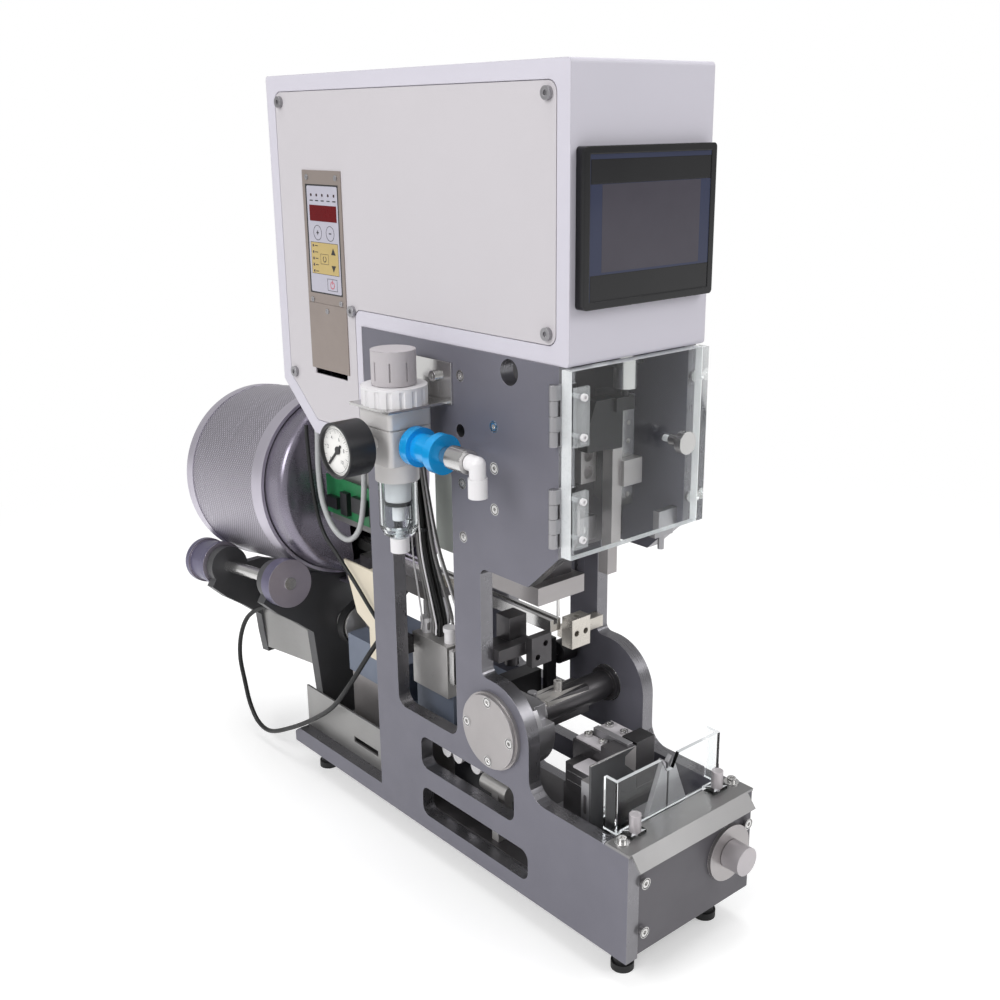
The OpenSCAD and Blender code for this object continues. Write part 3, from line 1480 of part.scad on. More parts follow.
// Tube swept along a route
function tangents(p) = [
    for (i = [0 : len(p) - 1])
        unit(p[min(i + 1, len(p) - 1)] - p[max(i - 1, 0)])
];
function side_of(t, last) = unit(last - t * (last * t));
function sides(t, i, last) =
    i >= len(t) ? [] : let (s = side_of(t[i], last)) concat([s], sides(t, i + 1, s));
module swept_tube(route, d, n) {
    t = tangents(route);
    s = sides(t, 0, abs(t[0][0]) < 0.9 ? [1, 0, 0] : [0, 0, 1]);
    rings = [
        for (i = [0 : len(route) - 1]) for (k = [0 : n - 1])
            route[i] + d / 2 * (cos(360 * k / n) * s[i] + sin(360 * k / n) * cross(t[i], s[i]))
    ];
    last = (len(route) - 1) * n;
    faces = concat(
        [[for (k = [n - 1 : -1 : 0]) k]],
        [[for (k = [0 : n - 1]) last + k]],
        [for (i = [0 : len(route) - 2]) for (k = [0 : n - 1])
            [i * n + k, i * n + (k + 1) % n, (i + 1) * n + (k + 1) % n]],
        [for (i = [0 : len(route) - 2]) for (k = [0 : n - 1])
            [i * n + k, (i + 1) * n + (k + 1) % n, (i + 1) * n + k]]
    );
    polyhedron(rings, [for (f = faces) [for (k = [len(f) - 1 : -1 : 0]) f[k]]]);
}
// Smooth curve through the points of a route
function spline_point(a, b, c, d, u) =
    0.5 * (2 * b + (c - a) * u + (2 * a - 5 * b + 4 * c - d) * u * u
           + (3 * b - a - 3 * c + d) * u * u * u);
function smooth(p, n) = concat(
    [for (i = [0 : len(p) - 2]) for (k = [0 : n - 1])
        spline_point(p[max(i - 1, 0)], p[i], p[i + 1], p[min(i + 2, len(p) - 1)], k / n)],
    [p[len(p) - 1]]
);

// Wires inside the column, tied in a bundle: they run from the cabinet down to the guided cylinder.
// Each place is an X and a Y and the share of the way down
wire_d = 4;
wire_sides = 8;
wire_step = 3;
wire_pitch = 5.8;
wire_places = [
    [-38, 90, 0], [-38, 90, 0.1], [-38, 90, 0.25], [-38, 89, 0.42], [-41, 80, 0.56],
    [-42, 74, 0.7], [-36, 72, 0.83], [-29, 73, 0.94], [-29, 73, 0.97], [-29, 73, 1]
];
// Cable and hose behind the column, measured from the left plate's outer face, the back of the
// column and the floor of the cabinet lobe
rear_cable_d = 3.6;
rear_cable = [
    [9.5, 110, 0], [9.5, 110, -4], [9.3, 109.5, -12], [9, 107, -38], [9, 102, -70], [9, 90, -97],
    [9.2, 67, -115], [10, 44, -133], [12, 25, -152], [15.5, 14, -166], [18.5, 7, -169.8],
    [18.5, 3, -169.8], [18.5, 0, -169.8]
];
rear_hose_d = 5;
rear_hose = [
    [17, 104, 0], [17, 104, -4], [16.5, 103.5, -14], [14, 101, -40], [12.5, 94, -70], [14, 80, -92],
    [15.5, 60, -98], [16, 42, -84], [16, 33, -56], [16, 30, -24], [16, 30, -4], [16, 30, 0]
];
tie_share = 0.3;
tie_wall = 1;
tie_len = 4;

function rear_route(places) = [
    for (p = places) [p[0] - plate_out, column_back + p[1], lobe_z + p[2]]
];

function wire_route(x, y) = [
    for (p = wire_places)
        [p[0] + x, window_y + p[1] + y, column_top + (pusher_z[1] - column_top) * p[2]]
];

module wire_bundle() {
    first = wire_places[0];
    color([0.08, 0.08, 0.09]) for (x = [0, wire_pitch]) for (y = [0, wire_pitch])
        swept_tube(smooth(wire_route(x, y), wire_step), wire_d, wire_sides);
    color([0.08, 0.08, 0.09])
        swept_tube(smooth(rear_route(rear_cable), wire_step), rear_cable_d, wire_sides);
    color([0.85, 0.86, 0.87])
        swept_tube(smooth(rear_route(rear_hose), wire_step), rear_hose_d, wire_sides);
    color([0.12, 0.12, 0.12])
        translate([first[0], window_y + first[1], column_top + (pusher_z[1] - column_top) * tie_share])
            difference() {
                tie_block(wire_d / 2 + gap + tie_wall, 0, tie_len);
                tie_block(wire_d / 2 + gap, -over, tie_len + over);
            }
}

module tie_block(out, z0, z1) {
    block([-out, -out, z0], [wire_pitch + out, wire_pitch + out, z1]);
}

// Everything on the drum stands in its tilted frame, with Y along the axis
module in_drum() {
    translate([0, drum_y, drum_z]) rotate([-drum_tilt, 0, 0]) children();
}
drum_wall = 3;
drum_back_t = 4;
drum_band = 19;
drum_rear_band = 13;
knurl_deep = 0.6;
hood_r = drum_r - drum_wall - 1;
hood_len = 33;
hood_in = 3;
hood_wall = 3;
hood_round = 8;
roller_gap = 0.3;
roller_x = 76;
roller_drop = sqrt(pow(drum_r + roller_r + roller_gap, 2) - roller_x * roller_x);
roller_shaft_d = 12;
cradle_near = 10;
cradle_far = 113;
cradle_t = 12;
cradle_end_r = 20;
roller_disc = [-6, 8];
roller_far = [127, 166];
roller_pin_h = 1;
motor_x = -12.6;
motor_drop = 140;
motor_d = 50;
motor_len = 66;
motor_shaft_d = 10;
pulley_d = 37;
pulley_len = 14;
belt_t = 2;
belt_w = 10;
belt_gap = 0.3;
right_pulley_d = 24;
right_pulley = [-22, -8];

module feed_drum() {
    color([0.62, 0.62, 0.68]) in_drum() difference() {
        union() {
            bar_y([0, 0, 0], 2 * drum_r, drum_band);
            bar_y([0, drum_band, 0], 2 * (drum_r - knurl_deep),
                  drum_len - drum_band - drum_rear_band);
            bar_y([0, drum_len - drum_rear_band, 0], 2 * drum_r, drum_rear_band);
        }
        bar_y([0, -over, 0], 2 * (drum_r - drum_wall), drum_len - drum_back_t + over);
    }
}

module drum_hood() {
    color([0.3, 0.3, 0.36]) in_drum() {
        difference() {
            translate([0, hood_in, 0]) rotate([90, 0, 0]) rotate_extrude($fn = 96)
                polygon(concat(
                    [[hood_r - hood_wall, 0], [hood_r, 0]],
                    corner([hood_r, 0], [hood_r, hood_len], [0, hood_len], hood_round),
                    [[0, hood_len], [0, hood_len - hood_wall]],
                    corner([0, hood_len - hood_wall], [hood_r - hood_wall, hood_len - hood_wall],
                           [hood_r - hood_wall, 0], hood_round - hood_wall)
                ));
            block([-mouth_half, -hood_len, mouth_low],
                  [mouth_half, -hood_len + 3 * hood_wall, mouth_high]);
        }
        difference() {
            block([-hood_foot_w, -hood_wall - hood_foot_w, -cradle_foot],
                  [hood_foot_w, -hood_wall, -hood_r + 2 * hood_wall]);
            bar_y([0, -hood_len, 0], 2 * (hood_r - hood_wall), hood_len + over);
        }
        block([-hood_foot_w, -hood_wall - over, -cradle_foot],
              [hood_foot_w, cradle_near, -cradle_foot + hood_wall]);
    }
}
mouth_half = 18;
mouth_low = -72;
mouth_high = -38;
hood_foot_w = 12;
cradle_foot = 100;

cradle_floor = 235;
cradle_far_drop = 184;
// Side edge of a cradle plate, as shares of the drum's radius
cradle_shares = [[1.089, -1.122], [0.933, -1.278], [0.722, -1.433], [0.539, -1.589], [0.533, -1.8]];
cradle_low_share = 0.511;
function cradle_side(s, low) = concat(
    [for (p = cradle_shares) [s * p[0], p[1]] * drum_r], [[s * cradle_low_share * drum_r, -low]]
);
module cradle_plate(y0, low) {
    difference() {
        translate([0, y0 + cradle_t, 0]) rotate([90, 0, 0]) linear_extrude(cradle_t)
            difference() {
                union() {
                    polygon(concat(
                        [[0, -roller_drop], [-roller_x - cradle_end_r / 2, -roller_drop]],
                        cradle_side(-1, low),
                        [for (i = [5 : -1 : 0]) cradle_side(1, low)[i]],
                        [[roller_x + cradle_end_r / 2, -roller_drop]]
                    ));
                    for (s = [-1, 1]) translate([s * roller_x, -roller_drop])
                        circle(cradle_end_r);
                }
                circle(drum_r + 2 * over, $fn = 96);
            }
        for (s = [-1, 1]) bar_y([s * roller_x, y0 - over, -roller_drop],
                                roller_shaft_d + 2 * run_fit, cradle_t + 2 * over);
        bar_y([motor_x, y0 - over, -motor_drop], motor_shaft_d + 2 * over, cradle_t + 2 * over);
    }
}

module cradle_plates() {
    color([0.3, 0.3, 0.32]) difference() {
        in_drum() {
            cradle_plate(cradle_near, cradle_floor);
            cradle_plate(cradle_far, cradle_far_drop);
        }
        translate([0, 0, tail_z - cradle_floor]) block([-cradle_floor, 0, 0],
                                                   [cradle_floor, 2 * cradle_floor, cradle_floor]);
    }
}

module drive_motor() {
    color([0.2, 0.2, 0.22]) in_drum() {
        bar_y([motor_x, cradle_near + cradle_t, -motor_drop], motor_d, motor_len);
        bar_y([motor_x, cradle_near - over, -motor_drop], motor_shaft_d + over,
              cradle_t + 2 * over);
        bar_x([motor_x - motor_d / 2 - gland_len, gland_s, -gland_drop], gland_d,
              gland_len + motor_d / 4);
    }
}
gland_d = 9;
gland_len = 6;
gland_s = 60;
gland_drop = 127;

module motor_pulley() {
    color([0.55, 0.55, 0.57]) in_drum() difference() {
        union() {
            bar_y([motor_x, right_pulley[0], -motor_drop], pulley_d, right_pulley[1] - right_pulley[0]);
            bar_y([motor_x, right_pulley[1] - over, -motor_drop], pulley_d / 2,
                  cradle_near - over - gap - right_pulley[1] + over);
        }
        bar_y([motor_x, right_pulley[0] + 3 * over, -motor_drop], motor_shaft_d + over + 2 * run_fit,
              pulley_len + 2 * pulley_len);
    }
}

module drive_belt() {
    a = [motor_x, -motor_drop];
    b = [roller_x, -roller_drop];
    ra = pulley_d / 2 + belt_gap;
    rb = right_pulley_d / 2 + belt_gap;
    y0 = right_pulley[0] + 2 * over;
    color([0.1, 0.1, 0.1]) in_drum() translate([0, y0 + belt_w, 0]) rotate([90, 0, 0])
        linear_extrude(belt_w) difference() {
            belt_outline(a, ra + belt_t, b, rb + belt_t);
            belt_outline(a, ra, b, rb);
        }
}

module belt_outline(a, ra, b, rb) {
    u = unit(b - a);
    lean = acos((ra - rb) / norm(b - a));
    turn = atan2(u[1], u[0]);
    up = [cos(turn + lean), sin(turn + lean)];
    down = [cos(turn - lean), sin(turn - lean)];
    union() {
        translate(a) circle(ra);
        translate(b) circle(rb);
        polygon([a + ra * up, a + ra * down, b + rb * down, b + rb * up]);
    }
}

module roller(side, near) {
    in_drum() translate([side * roller_x, 0, -roller_drop]) {
        bar_y([0, near, 0], roller_shaft_d, roller_far[1] - near);
        bar_y([0, roller_disc[0], 0], 2 * roller_r, roller_disc[1] - roller_disc[0]);
        bar_y([0, roller_far[0], 0], 2 * roller_r, drum_rear_band / 2);
        bar_y([0, roller_far[0] + drum_rear_band / 2 - over, 0], 2 * roller_r - 4 * over,
              roller_far[1] - roller_far[0] - drum_rear_band + 2 * over);
        bar_y([0, roller_far[1] - drum_rear_band / 2, 0], 2 * roller_r, drum_rear_band / 2);
    }
}

module roller_left() {
    color([0.4, 0.4, 0.46]) {
        roller(-1, roller_disc[0] - roller_pin_h);
    }
}

module roller_right() {
    color([0.4, 0.4, 0.46]) {
        roller(1, right_pulley[0]);
        in_drum() bar_y([roller_x, right_pulley[0], -roller_drop], right_pulley_d,
                        right_pulley[1] - right_pulley[0]);
    }
}

// Free loop of the motor cable, points chosen by hand
cable_d = 4.5;
cable_sides = 8;
cable_step = 3;
// Each place is measured from the left plate's outer face, the back of the base and the plates' foot
cable_places = [
    [25.9, 40.6, 123.5], [23, 40.6, 123.5], [20, 40.6, 123.5], [15.5, 41.5, 123.7],
    [9, 49, 124], [6, 62, 122], [2.5, 86, 105], [-0.5, 98, 82], [-2.5, 100, 57],
    [-3.5, 92, 32], [-4.5, 82, 10],
    [-4.5, 67, -5], [-4.5, 43, -6], [-4.5, 5, 12], [-3.5, -37, 37], [-3.5, -77, 66],
    [-1.5, -105, 98], [7.5, -125, 132], [15.5, -134, 150], [18.5, -137, 154], [18.5, -143, 154],
    [18.5, -149, 154]
];
cable_route = [for (p = cable_places) [p[0] - plate_out, base_back + p[1], plate_z + p[2]]];

module motor_cable() {
    color([0.07, 0.07, 0.07]) swept_tube(smooth(cable_route, cable_step), cable_d, cable_sides);
}

// Air regulator on the left plate
reg_out = 31.5;
reg_back = 145.5;
reg_x = -plate_out - reg_out;
reg_y = column_front + reg_back;
reg_z = [column_top - 102.4, column_top - 45];
reg_step = 15;
reg_low_d = 34;
reg_r = 4;
reg_groove = 1.2;
reg_groove_z = column_top - 60;
bracket_t = 2;
bracket_y = [column_front + 114.5, column_front + 158.5];
bracket_z = [column_top - 51, column_top - 13];
bracket_screw_places = [[-plate_out, column_front + 132.5, column_top - 25]];
flange_x = reg_x - ring_nut_d / 2 + over;
neck_d = 30;
ring_nut_h = 14;
ring_scallops = 16;
scallop_d = 5;
knob_ring_gap = 0.4;
knob_len = 26;
knob_slits = 8;
slit_w = 1;
slit_shares = [0.17, 0.7];

module regulator_bracket() {
    color([0.78, 0.8, 0.8]) difference() {
        union() {
            block([-plate_out - bracket_t, bracket_y[0], reg_z[1]],
                  [-plate_out, bracket_y[1], bracket_z[1]]);
            block([flange_x, reg_y - ring_nut_d / 2, reg_z[1]],
                  [-plate_out, reg_y + ring_nut_d / 2, reg_z[1] + bracket_t]);
        }
        bar_z([reg_x, reg_y, reg_z[1] - over], neck_d + 2 * fit, bracket_t + 2 * over);
        for (p = bracket_screw_places) translate(p) face_left()
            translate([0, 0, bracket_t]) screw_hole(m5, bracket_t + thread_len);
    }
}

module regulator_body() {
    w = regulator_w / 2;
    color([0.88, 0.88, 0.87]) difference() {
        union() {
            translate([0, 0, reg_z[0] + reg_step]) linear_extrude(reg_z[1] - reg_z[0] - reg_step)
                polygon(rounded(box_points(reg_x - w, reg_y - w, reg_x + w, reg_y + w), reg_r));
            bar_z([reg_x, reg_y, reg_z[0]], reg_low_d, reg_step + over);
            bar_z([reg_x, reg_y, reg_z[1] - over], neck_d, over + bracket_t + ring_nut_h);
            bar_x([reg_x - w - gauge_neck, reg_y, gauge_z], gauge_neck_d, gauge_neck + over);
        }
        difference() {
            block([reg_x - w - over, reg_y - w - over, reg_groove_z],
                  [reg_x + w + over, reg_y + w + over, reg_groove_z + reg_groove]);
            block([reg_x - w + reg_groove, reg_y - w + reg_groove, reg_groove_z - over],
                  [reg_x + w - reg_groove, reg_y + w - reg_groove, reg_groove_z + reg_groove + over]);
        }
        bar_y([reg_x, reg_y - w - over, valve_z], core_d + 2 * fit, 3 * over + thread_len);
        bar_z([reg_x, reg_y, reg_z[0] - over], bowl_d / 2, thread_len);
        bar_z([reg_x, reg_y, reg_z[1] + bracket_t], stem_d + 2 * run_fit, ring_nut_h + over);
    }
    color([0.95, 0.95, 0.94]) translate([reg_x, reg_y, reg_z[1] + bracket_t]) difference() {
        cylinder(d = ring_nut_d, h = ring_nut_h);
        translate([0, 0, -over]) cylinder(d = neck_d + 2 * fit, h = ring_nut_h + 2 * over);
        for (k = [0 : ring_scallops - 1]) rotate([0, 0, 360 * k / ring_scallops])
            translate([ring_nut_d / 2 + scallop_d / 4, 0, -over])
                cylinder(d = scallop_d, h = ring_nut_h - over, $fn = 16);
    }
}
gauge_neck = 13;
gauge_neck_d = 10;
gauge_drop = 71;
gauge_z = column_top - gauge_drop;
gauge_deep = 22;
gauge_wall = 2;
dial_in = 4;
needle_w = 1.6;
needle_t = 0.8;
needle_pin_d = 3;
valve_drop = 72;
valve_z = column_top - valve_drop;
core_d = 12;
stem_d = 14;

module regulator_knob() {
    color([0.62, 0.62, 0.64]) translate([reg_x, reg_y, reg_z[1] + bracket_t + ring_nut_h]) {
        difference() {
            translate([0, 0, knob_ring_gap]) cylinder(d = regulator_knob_d, h = knob_len);
            for (k = [0 : knob_slits - 1]) rotate([0, 0, 360 * k / knob_slits])
                block([regulator_knob_d / 2 - slit_w, -slit_w / 2, knob_len * slit_shares[0]],
                      [regulator_knob_d, slit_w / 2, knob_len * slit_shares[1]]);
        }
        translate([0, 0, -ring_nut_h + over]) cylinder(d = stem_d, h = ring_nut_h + over);
    }
}

bowl_len = 44;
bowl_wall = 2;
bowl_taper = 6;
bowl_tube_share = 0.75;
cap_d = 20;
cap_len = 17;
baffle_d = 22;
baffle_t = 3;

module filter_bowl() {
    inner = bowl_d - 2 * bowl_wall;
    color([0.85, 0.9, 0.92, 0.45]) translate([reg_x, reg_y, reg_z[0] - bowl_len]) difference() {
        union() {
            cylinder(d1 = bowl_d - bowl_taper, d2 = bowl_d, h = bowl_taper);
            translate([0, 0, bowl_taper]) cylinder(d = bowl_d, h = bowl_len - bowl_taper);
        }
        translate([0, 0, bowl_wall])
            cylinder(d1 = inner - bowl_taper, d2 = inner, h = bowl_taper);
        translate([0, 0, bowl_wall + bowl_taper - fit]) cylinder(d = inner, h = bowl_len);
        translate([0, 0, -over]) cylinder(d = drain_stem_d + 2 * run_fit, h = bowl_len / 4);
    }
    color([0.93, 0.93, 0.92]) translate([reg_x, reg_y, reg_z[0]]) {
        translate([0, 0, -cap_len]) cylinder(d = cap_d, h = cap_len);
        translate([0, 0, -bowl_len * bowl_tube_share])
            cylinder(d = cap_d / 2, h = bowl_len * bowl_tube_share);
    }
    color([0.15, 0.15, 0.15]) translate([reg_x, reg_y, reg_z[0] - cap_len - baffle_t]) difference() {
        cylinder(d = baffle_d, h = baffle_t);
        translate([0, 0, -over]) cylinder(d = cap_d / 2 + 2 * fit, h = baffle_t + 2 * over);
    }
}
drain_stem_d = 6;
drain_d = 15;
drain_len = 12;
drain_gap = 3;

module drain_knob() {
    color([0.93, 0.93, 0.92]) translate([reg_x, reg_y, reg_z[0] - bowl_len - drain_gap]) {
        translate([0, 0, -drain_len]) cylinder(d = drain_d, h = drain_len);
        translate([0, 0, -over]) cylinder(d = drain_stem_d, h = drain_gap + bowl_wall + 2 * over);
    }
}

gauge_back_x = reg_x - regulator_w / 2 - gauge_neck;
gauge_face_x = gauge_back_x - gauge_deep;
module pressure_gauge() {
    color([0.06, 0.06, 0.07]) difference() {
        bar_x([gauge_face_x, reg_y, gauge_z], gauge_d, gauge_deep);
        bar_x([gauge_face_x - over, reg_y, gauge_z], gauge_d - 2 * gauge_wall, dial_in + over);
    }
    color([0.93, 0.93, 0.91]) difference() {
        bar_x([gauge_face_x + dial_in - over, reg_y, gauge_z],
              gauge_d - 2 * gauge_wall - 2 * fit, over);
        bar_x([gauge_face_x, reg_y, gauge_z], needle_pin_d + 2 * run_fit, dial_in + over);
    }
}

module gauge_needle() {
    x = gauge_face_x + dial_in - over - gap;
    reach = gauge_d / 2 - 2 * gauge_wall;
    color([0.08, 0.08, 0.08]) {
        bar_x([x - needle_t, reg_y, gauge_z], 2 * needle_pin_d, needle_t);
        bar_x([x - needle_t, reg_y, gauge_z], needle_pin_d, needle_t + gap + over - fit);
        translate([0, reg_y, gauge_z]) rotate([dial_start, 0, 0])
            block([x - needle_t, -needle_w / 2, -reach / 3], [x, needle_w / 2, reach]);
    }
}
dial_start = -135;

// Hand slide valve on the regulator's inlet and the elbow behind it
core_front = reg_y - regulator_w / 2;
valve_collar_d = 18;
valve_collar_len = 18;
sleeve_at = 4;
sleeve_valve_len = 36;
sleeve_flange_d = 30;
sleeve_waist_d = 22;
sleeve_flange_t = 8;
valve_stroke = 8;
core_len = sleeve_at + sleeve_valve_len + valve_stroke + valve_collar_len + over;
elbow_pin_d = 8;

module valve_core() {
    color([0.8, 0.8, 0.8]) difference() {
        union() {
            bar_y([reg_x, core_front - core_len, valve_z], core_d, core_len + thread_len);
            bar_y([reg_x, core_front - core_len, valve_z], valve_collar_d, valve_collar_len);
        }
        bar_y([reg_x, core_front - core_len - over, valve_z], elbow_pin_d + 2 * run_fit,
              valve_collar_len);
    }
}

module valve_sleeve() {
    y = core_front - sleeve_at - sleeve_valve_len;
    color([0.1, 0.55, 0.85]) difference() {
        union() {
            bar_y([reg_x, y, valve_z], sleeve_flange_d, sleeve_flange_t);
            bar_y([reg_x, y, valve_z], sleeve_waist_d, sleeve_valve_len);
            bar_y([reg_x, y + sleeve_valve_len - sleeve_flange_t, valve_z], sleeve_flange_d,
                  sleeve_flange_t);
        }
        bar_y([reg_x, y - over, valve_z], core_d + 2 * run_fit, sleeve_valve_len + 2 * over);
    }
}

elbow_d = 12;
elbow_len = 15;
elbow_drop = 24;
elbow_ring_d = 14;
elbow_ring_share = 0.6;
module air_elbow() {
    y = core_front - core_len - gap;
    color([0.94, 0.94, 0.93]) {
        bar_y([reg_x, y - elbow_len + elbow_d / 2, valve_z], elbow_d, elbow_len - elbow_d / 2);
        translate([reg_x, y - elbow_len + elbow_d / 2, valve_z]) sphere(d = elbow_d);
        bar_y([reg_x, y - over, valve_z], elbow_pin_d, valve_collar_len - over);
        bar_z([reg_x, y - elbow_len + elbow_d / 2, valve_z - elbow_drop], elbow_d, elbow_drop);
        difference() {
            bar_z([reg_x, y - elbow_len + elbow_d / 2, valve_z - elbow_drop], elbow_ring_d,
                  elbow_drop * elbow_ring_share);
            bar_z([reg_x, y - elbow_len + elbow_d / 2, valve_z - elbow_drop - over],
                  elbow_d / 2, 3 * over);
        }
    }
}

// Knob on the front panel
front_knob_d = 23;
front_knob_len = 16;
knob_face_gap = 0.4;
module front_knob() {
    y = base_front - knob_flange_t - knob_face_gap;
    color([0.5, 0.5, 0.52]) {
        bar_y([knob_x, y - front_knob_len, knob_z], front_knob_d, front_knob_len);
        bar_y([knob_x, y - over, knob_z], knob_shaft_d, knob_flange_t + knob_bush_len + 2 * over);
    }
}

side_plate_left();
side_plate_right();
base_floor();
feet();
cover_sheets();
front_panel();
deck_cover();
clear_guards();
guide_blocks();
cabinet_shell();
cabinet_cover();
cabinet_screws();
controller_panel();
operator_panel();
bearing_covers();
shaft_bearings();
frame_screws();
head_plates();
head_rails();
head_brackets();
hinge_leaves();
gripper_base();
transfer_stops();
feeder_base();
leaf_springs();
air_cylinders();
air_fittings();
driver_board();
wire_bundle();
cradle_plates();
drive_motor();
drive_belt();
drum_hood();
regulator_bracket();
regulator_body();
filter_bowl();
pressure_gauge();
valve_core();
clear_door();
door_hinges();
door_knob();
press_carriage();
needle_block();
transfer_shaft();
gripper_slide();
jaw_left();
jaw_right();
front_knob();
regulator_knob();
gauge_needle();
valve_sleeve();
air_elbow();
drain_knob();
feed_drum();
roller_left();
roller_right();
motor_pulley();
feed_track();
pusher_plate();
motor_cable();
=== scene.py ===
import math
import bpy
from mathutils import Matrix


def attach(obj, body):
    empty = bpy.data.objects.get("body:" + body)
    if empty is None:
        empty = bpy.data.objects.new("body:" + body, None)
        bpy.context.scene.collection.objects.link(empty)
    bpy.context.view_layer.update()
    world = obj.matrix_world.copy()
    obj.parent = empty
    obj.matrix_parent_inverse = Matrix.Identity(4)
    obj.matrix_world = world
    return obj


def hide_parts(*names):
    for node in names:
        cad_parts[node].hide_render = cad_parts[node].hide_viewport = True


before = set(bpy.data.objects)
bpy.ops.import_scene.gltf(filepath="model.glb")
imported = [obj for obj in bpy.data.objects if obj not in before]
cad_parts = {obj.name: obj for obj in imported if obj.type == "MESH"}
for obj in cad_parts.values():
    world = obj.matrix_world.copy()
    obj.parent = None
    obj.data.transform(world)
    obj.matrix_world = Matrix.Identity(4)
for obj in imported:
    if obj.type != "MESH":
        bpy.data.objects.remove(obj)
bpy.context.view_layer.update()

from types import SimpleNamespace

import bpy
import numpy as np
from mathutils import Matrix, Vector

MM = 0.001
CAMERA_PLACE = (-0.61819, -0.73401, 0.61524)
CAMERA_YAW, CAMERA_PITCH, CAMERA_ROLL = 40.488, 17.384, -0.628
SENSOR_WIDTH, LENS = 36, 43.608
ACROSS, UP = (0, -1, 0), (0, 0, 1)  # of a face seen from the left: across runs towards the front

# The drum, in millimetres: a point on its tilted axis, and the rollers and the knurl in its own frame
DRUM_TILT = math.radians(7.2)
DRUM_Y, DRUM_Z = 224, 283
ROLLER_X, ROLLER_Z = 76, -84
KNURL_START, KNURL_END = 19, 140
KNURL_GROOVES, KNURL_PITCH = 140, 4


# Camera at the photograph's place
def aim(yaw, pitch, roll):
    """Turn of a camera that looks yaw degrees to the right of the Y axis and pitch degrees down."""
    a, e, r = (math.radians(v) for v in (yaw, pitch, roll))
    forward = Vector((math.sin(a) * math.cos(e), math.cos(a) * math.cos(e), -math.sin(e)))
    right = Vector((math.cos(a), -math.sin(a), 0))
    up = right.cross(forward)
    side = right * math.cos(r) + up * math.sin(r)
    top = up * math.cos(r) - right * math.sin(r)
    return Matrix((side, top, -forward)).transposed()


camera = bpy.data.objects.new("camera", bpy.data.cameras.new("camera"))
bpy.context.scene.collection.objects.link(camera)
camera.matrix_world = (Matrix.Translation(CAMERA_PLACE)
                       @ aim(CAMERA_YAW, CAMERA_PITCH, CAMERA_ROLL).to_4x4())
camera.data.sensor_width = SENSOR_WIDTH
camera.data.lens = LENS
camera.data.clip_start = 0.01
bpy.context.scene.camera = camera


# Lines, tubes and meshes
def spline(points, steps):
    """Smooth curve through points, with steps parts between each pair."""
    p = [Vector(q) for q in points]
    out = []
    for i in range(len(p) - 1):
        a, b, c, d = p[max(i - 1, 0)], p[i], p[i + 1], p[min(i + 2, len(p) - 1)]
        for k in range(steps):
            u = k / steps
            out.append(0.5 * (2 * b + (c - a) * u + (2 * a - 5 * b + 4 * c - d) * u * u
                              + (3 * b - a - 3 * c + d) * u ** 3))
    return out + [p[-1]]


def placed(points, origin):
    """Points given in millimetres from origin, as places in metres."""
    return [tuple((v + o) * MM for v, o in zip(q, origin)) for q in points]


def mesh_object(name, verts, faces, material, body="frame", smooth=False):
    mesh = bpy.data.meshes.new(name)
    mesh.from_pydata([tuple(v) for v in verts], [], faces)
    mesh.materials.append(material)
    mesh.polygons.foreach_set("use_smooth", [smooth] * len(mesh.polygons))
    mesh.update()
    obj = bpy.data.objects.new(name, mesh)
    bpy.context.scene.collection.objects.link(obj)
    if body:
        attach(obj, body)
    return obj


def tube_mesh(points, radius, sides):
    """Vertices and faces of a round tube along points."""
    p = [Vector(q) for q in points]
    side = None
    verts, faces = [], []
    for i, q in enumerate(p):
        t = (p[min(i + 1, len(p) - 1)] - p[max(i - 1, 0)]).normalized()
        side = side or (Vector((1, 0, 0)) if abs(t.x) < 0.9 else Vector((0, 0, 1)))
        side = (side - t * side.dot(t)).normalized()
        other = t.cross(side)
        for k in range(sides):
            a = 2 * math.pi * k / sides
            verts.append(q + radius * (math.cos(a) * side + math.sin(a) * other))
    for i in range(len(p) - 1):
        for k in range(sides):
            n = (k + 1) % sides
            faces.append((i * sides + k, i * sides + n, (i + 1) * sides + n, (i + 1) * sides + k))
    faces.append(tuple(range(sides - 1, -1, -1)))
    faces.append(tuple(range((len(p) - 1) * sides, len(p) * sides)))
    return verts, faces


def merged(parts):
    """Vertices and faces of several meshes as one."""
    verts, faces = [], []
    for v, f in parts:
        faces += [tuple(i + len(verts) for i in face) for face in f]
        verts += v
    return verts, faces


def tubes(name, lines, radius, sides, material):
    """One object of round tubes, with their radius in millimetres."""
    parts = [tube_mesh(line, radius * MM, sides) for line in lines]
    return mesh_object(name, *merged(parts), material, smooth=True)


# Materials
def srgb(r, g, b):
    line = [c / 255 for c in (r, g, b)]
    return tuple(c / 12.92 if c <= 0.04045 else ((c + 0.055) / 1.055) ** 2.4 for c in line) + (1,)


def shade(color, factor, lift=0.0):
    """A linear colour, darkened or lightened."""
    return tuple(min(1, c * factor + lift) for c in color[:3]) + (1,)


def add_node(tree, kind, sockets=None, **settings):
    """A new node with its settings, and its sockets linked or set."""
    made = tree.nodes.new(kind)
    for key, value in settings.items():
        setattr(made, key, value)
    for key, value in (sockets or {}).items():
        if isinstance(value, bpy.types.NodeSocket):
            tree.links.new(value, made.inputs[key])
        else:
            made.inputs[key].default_value = value
    return made


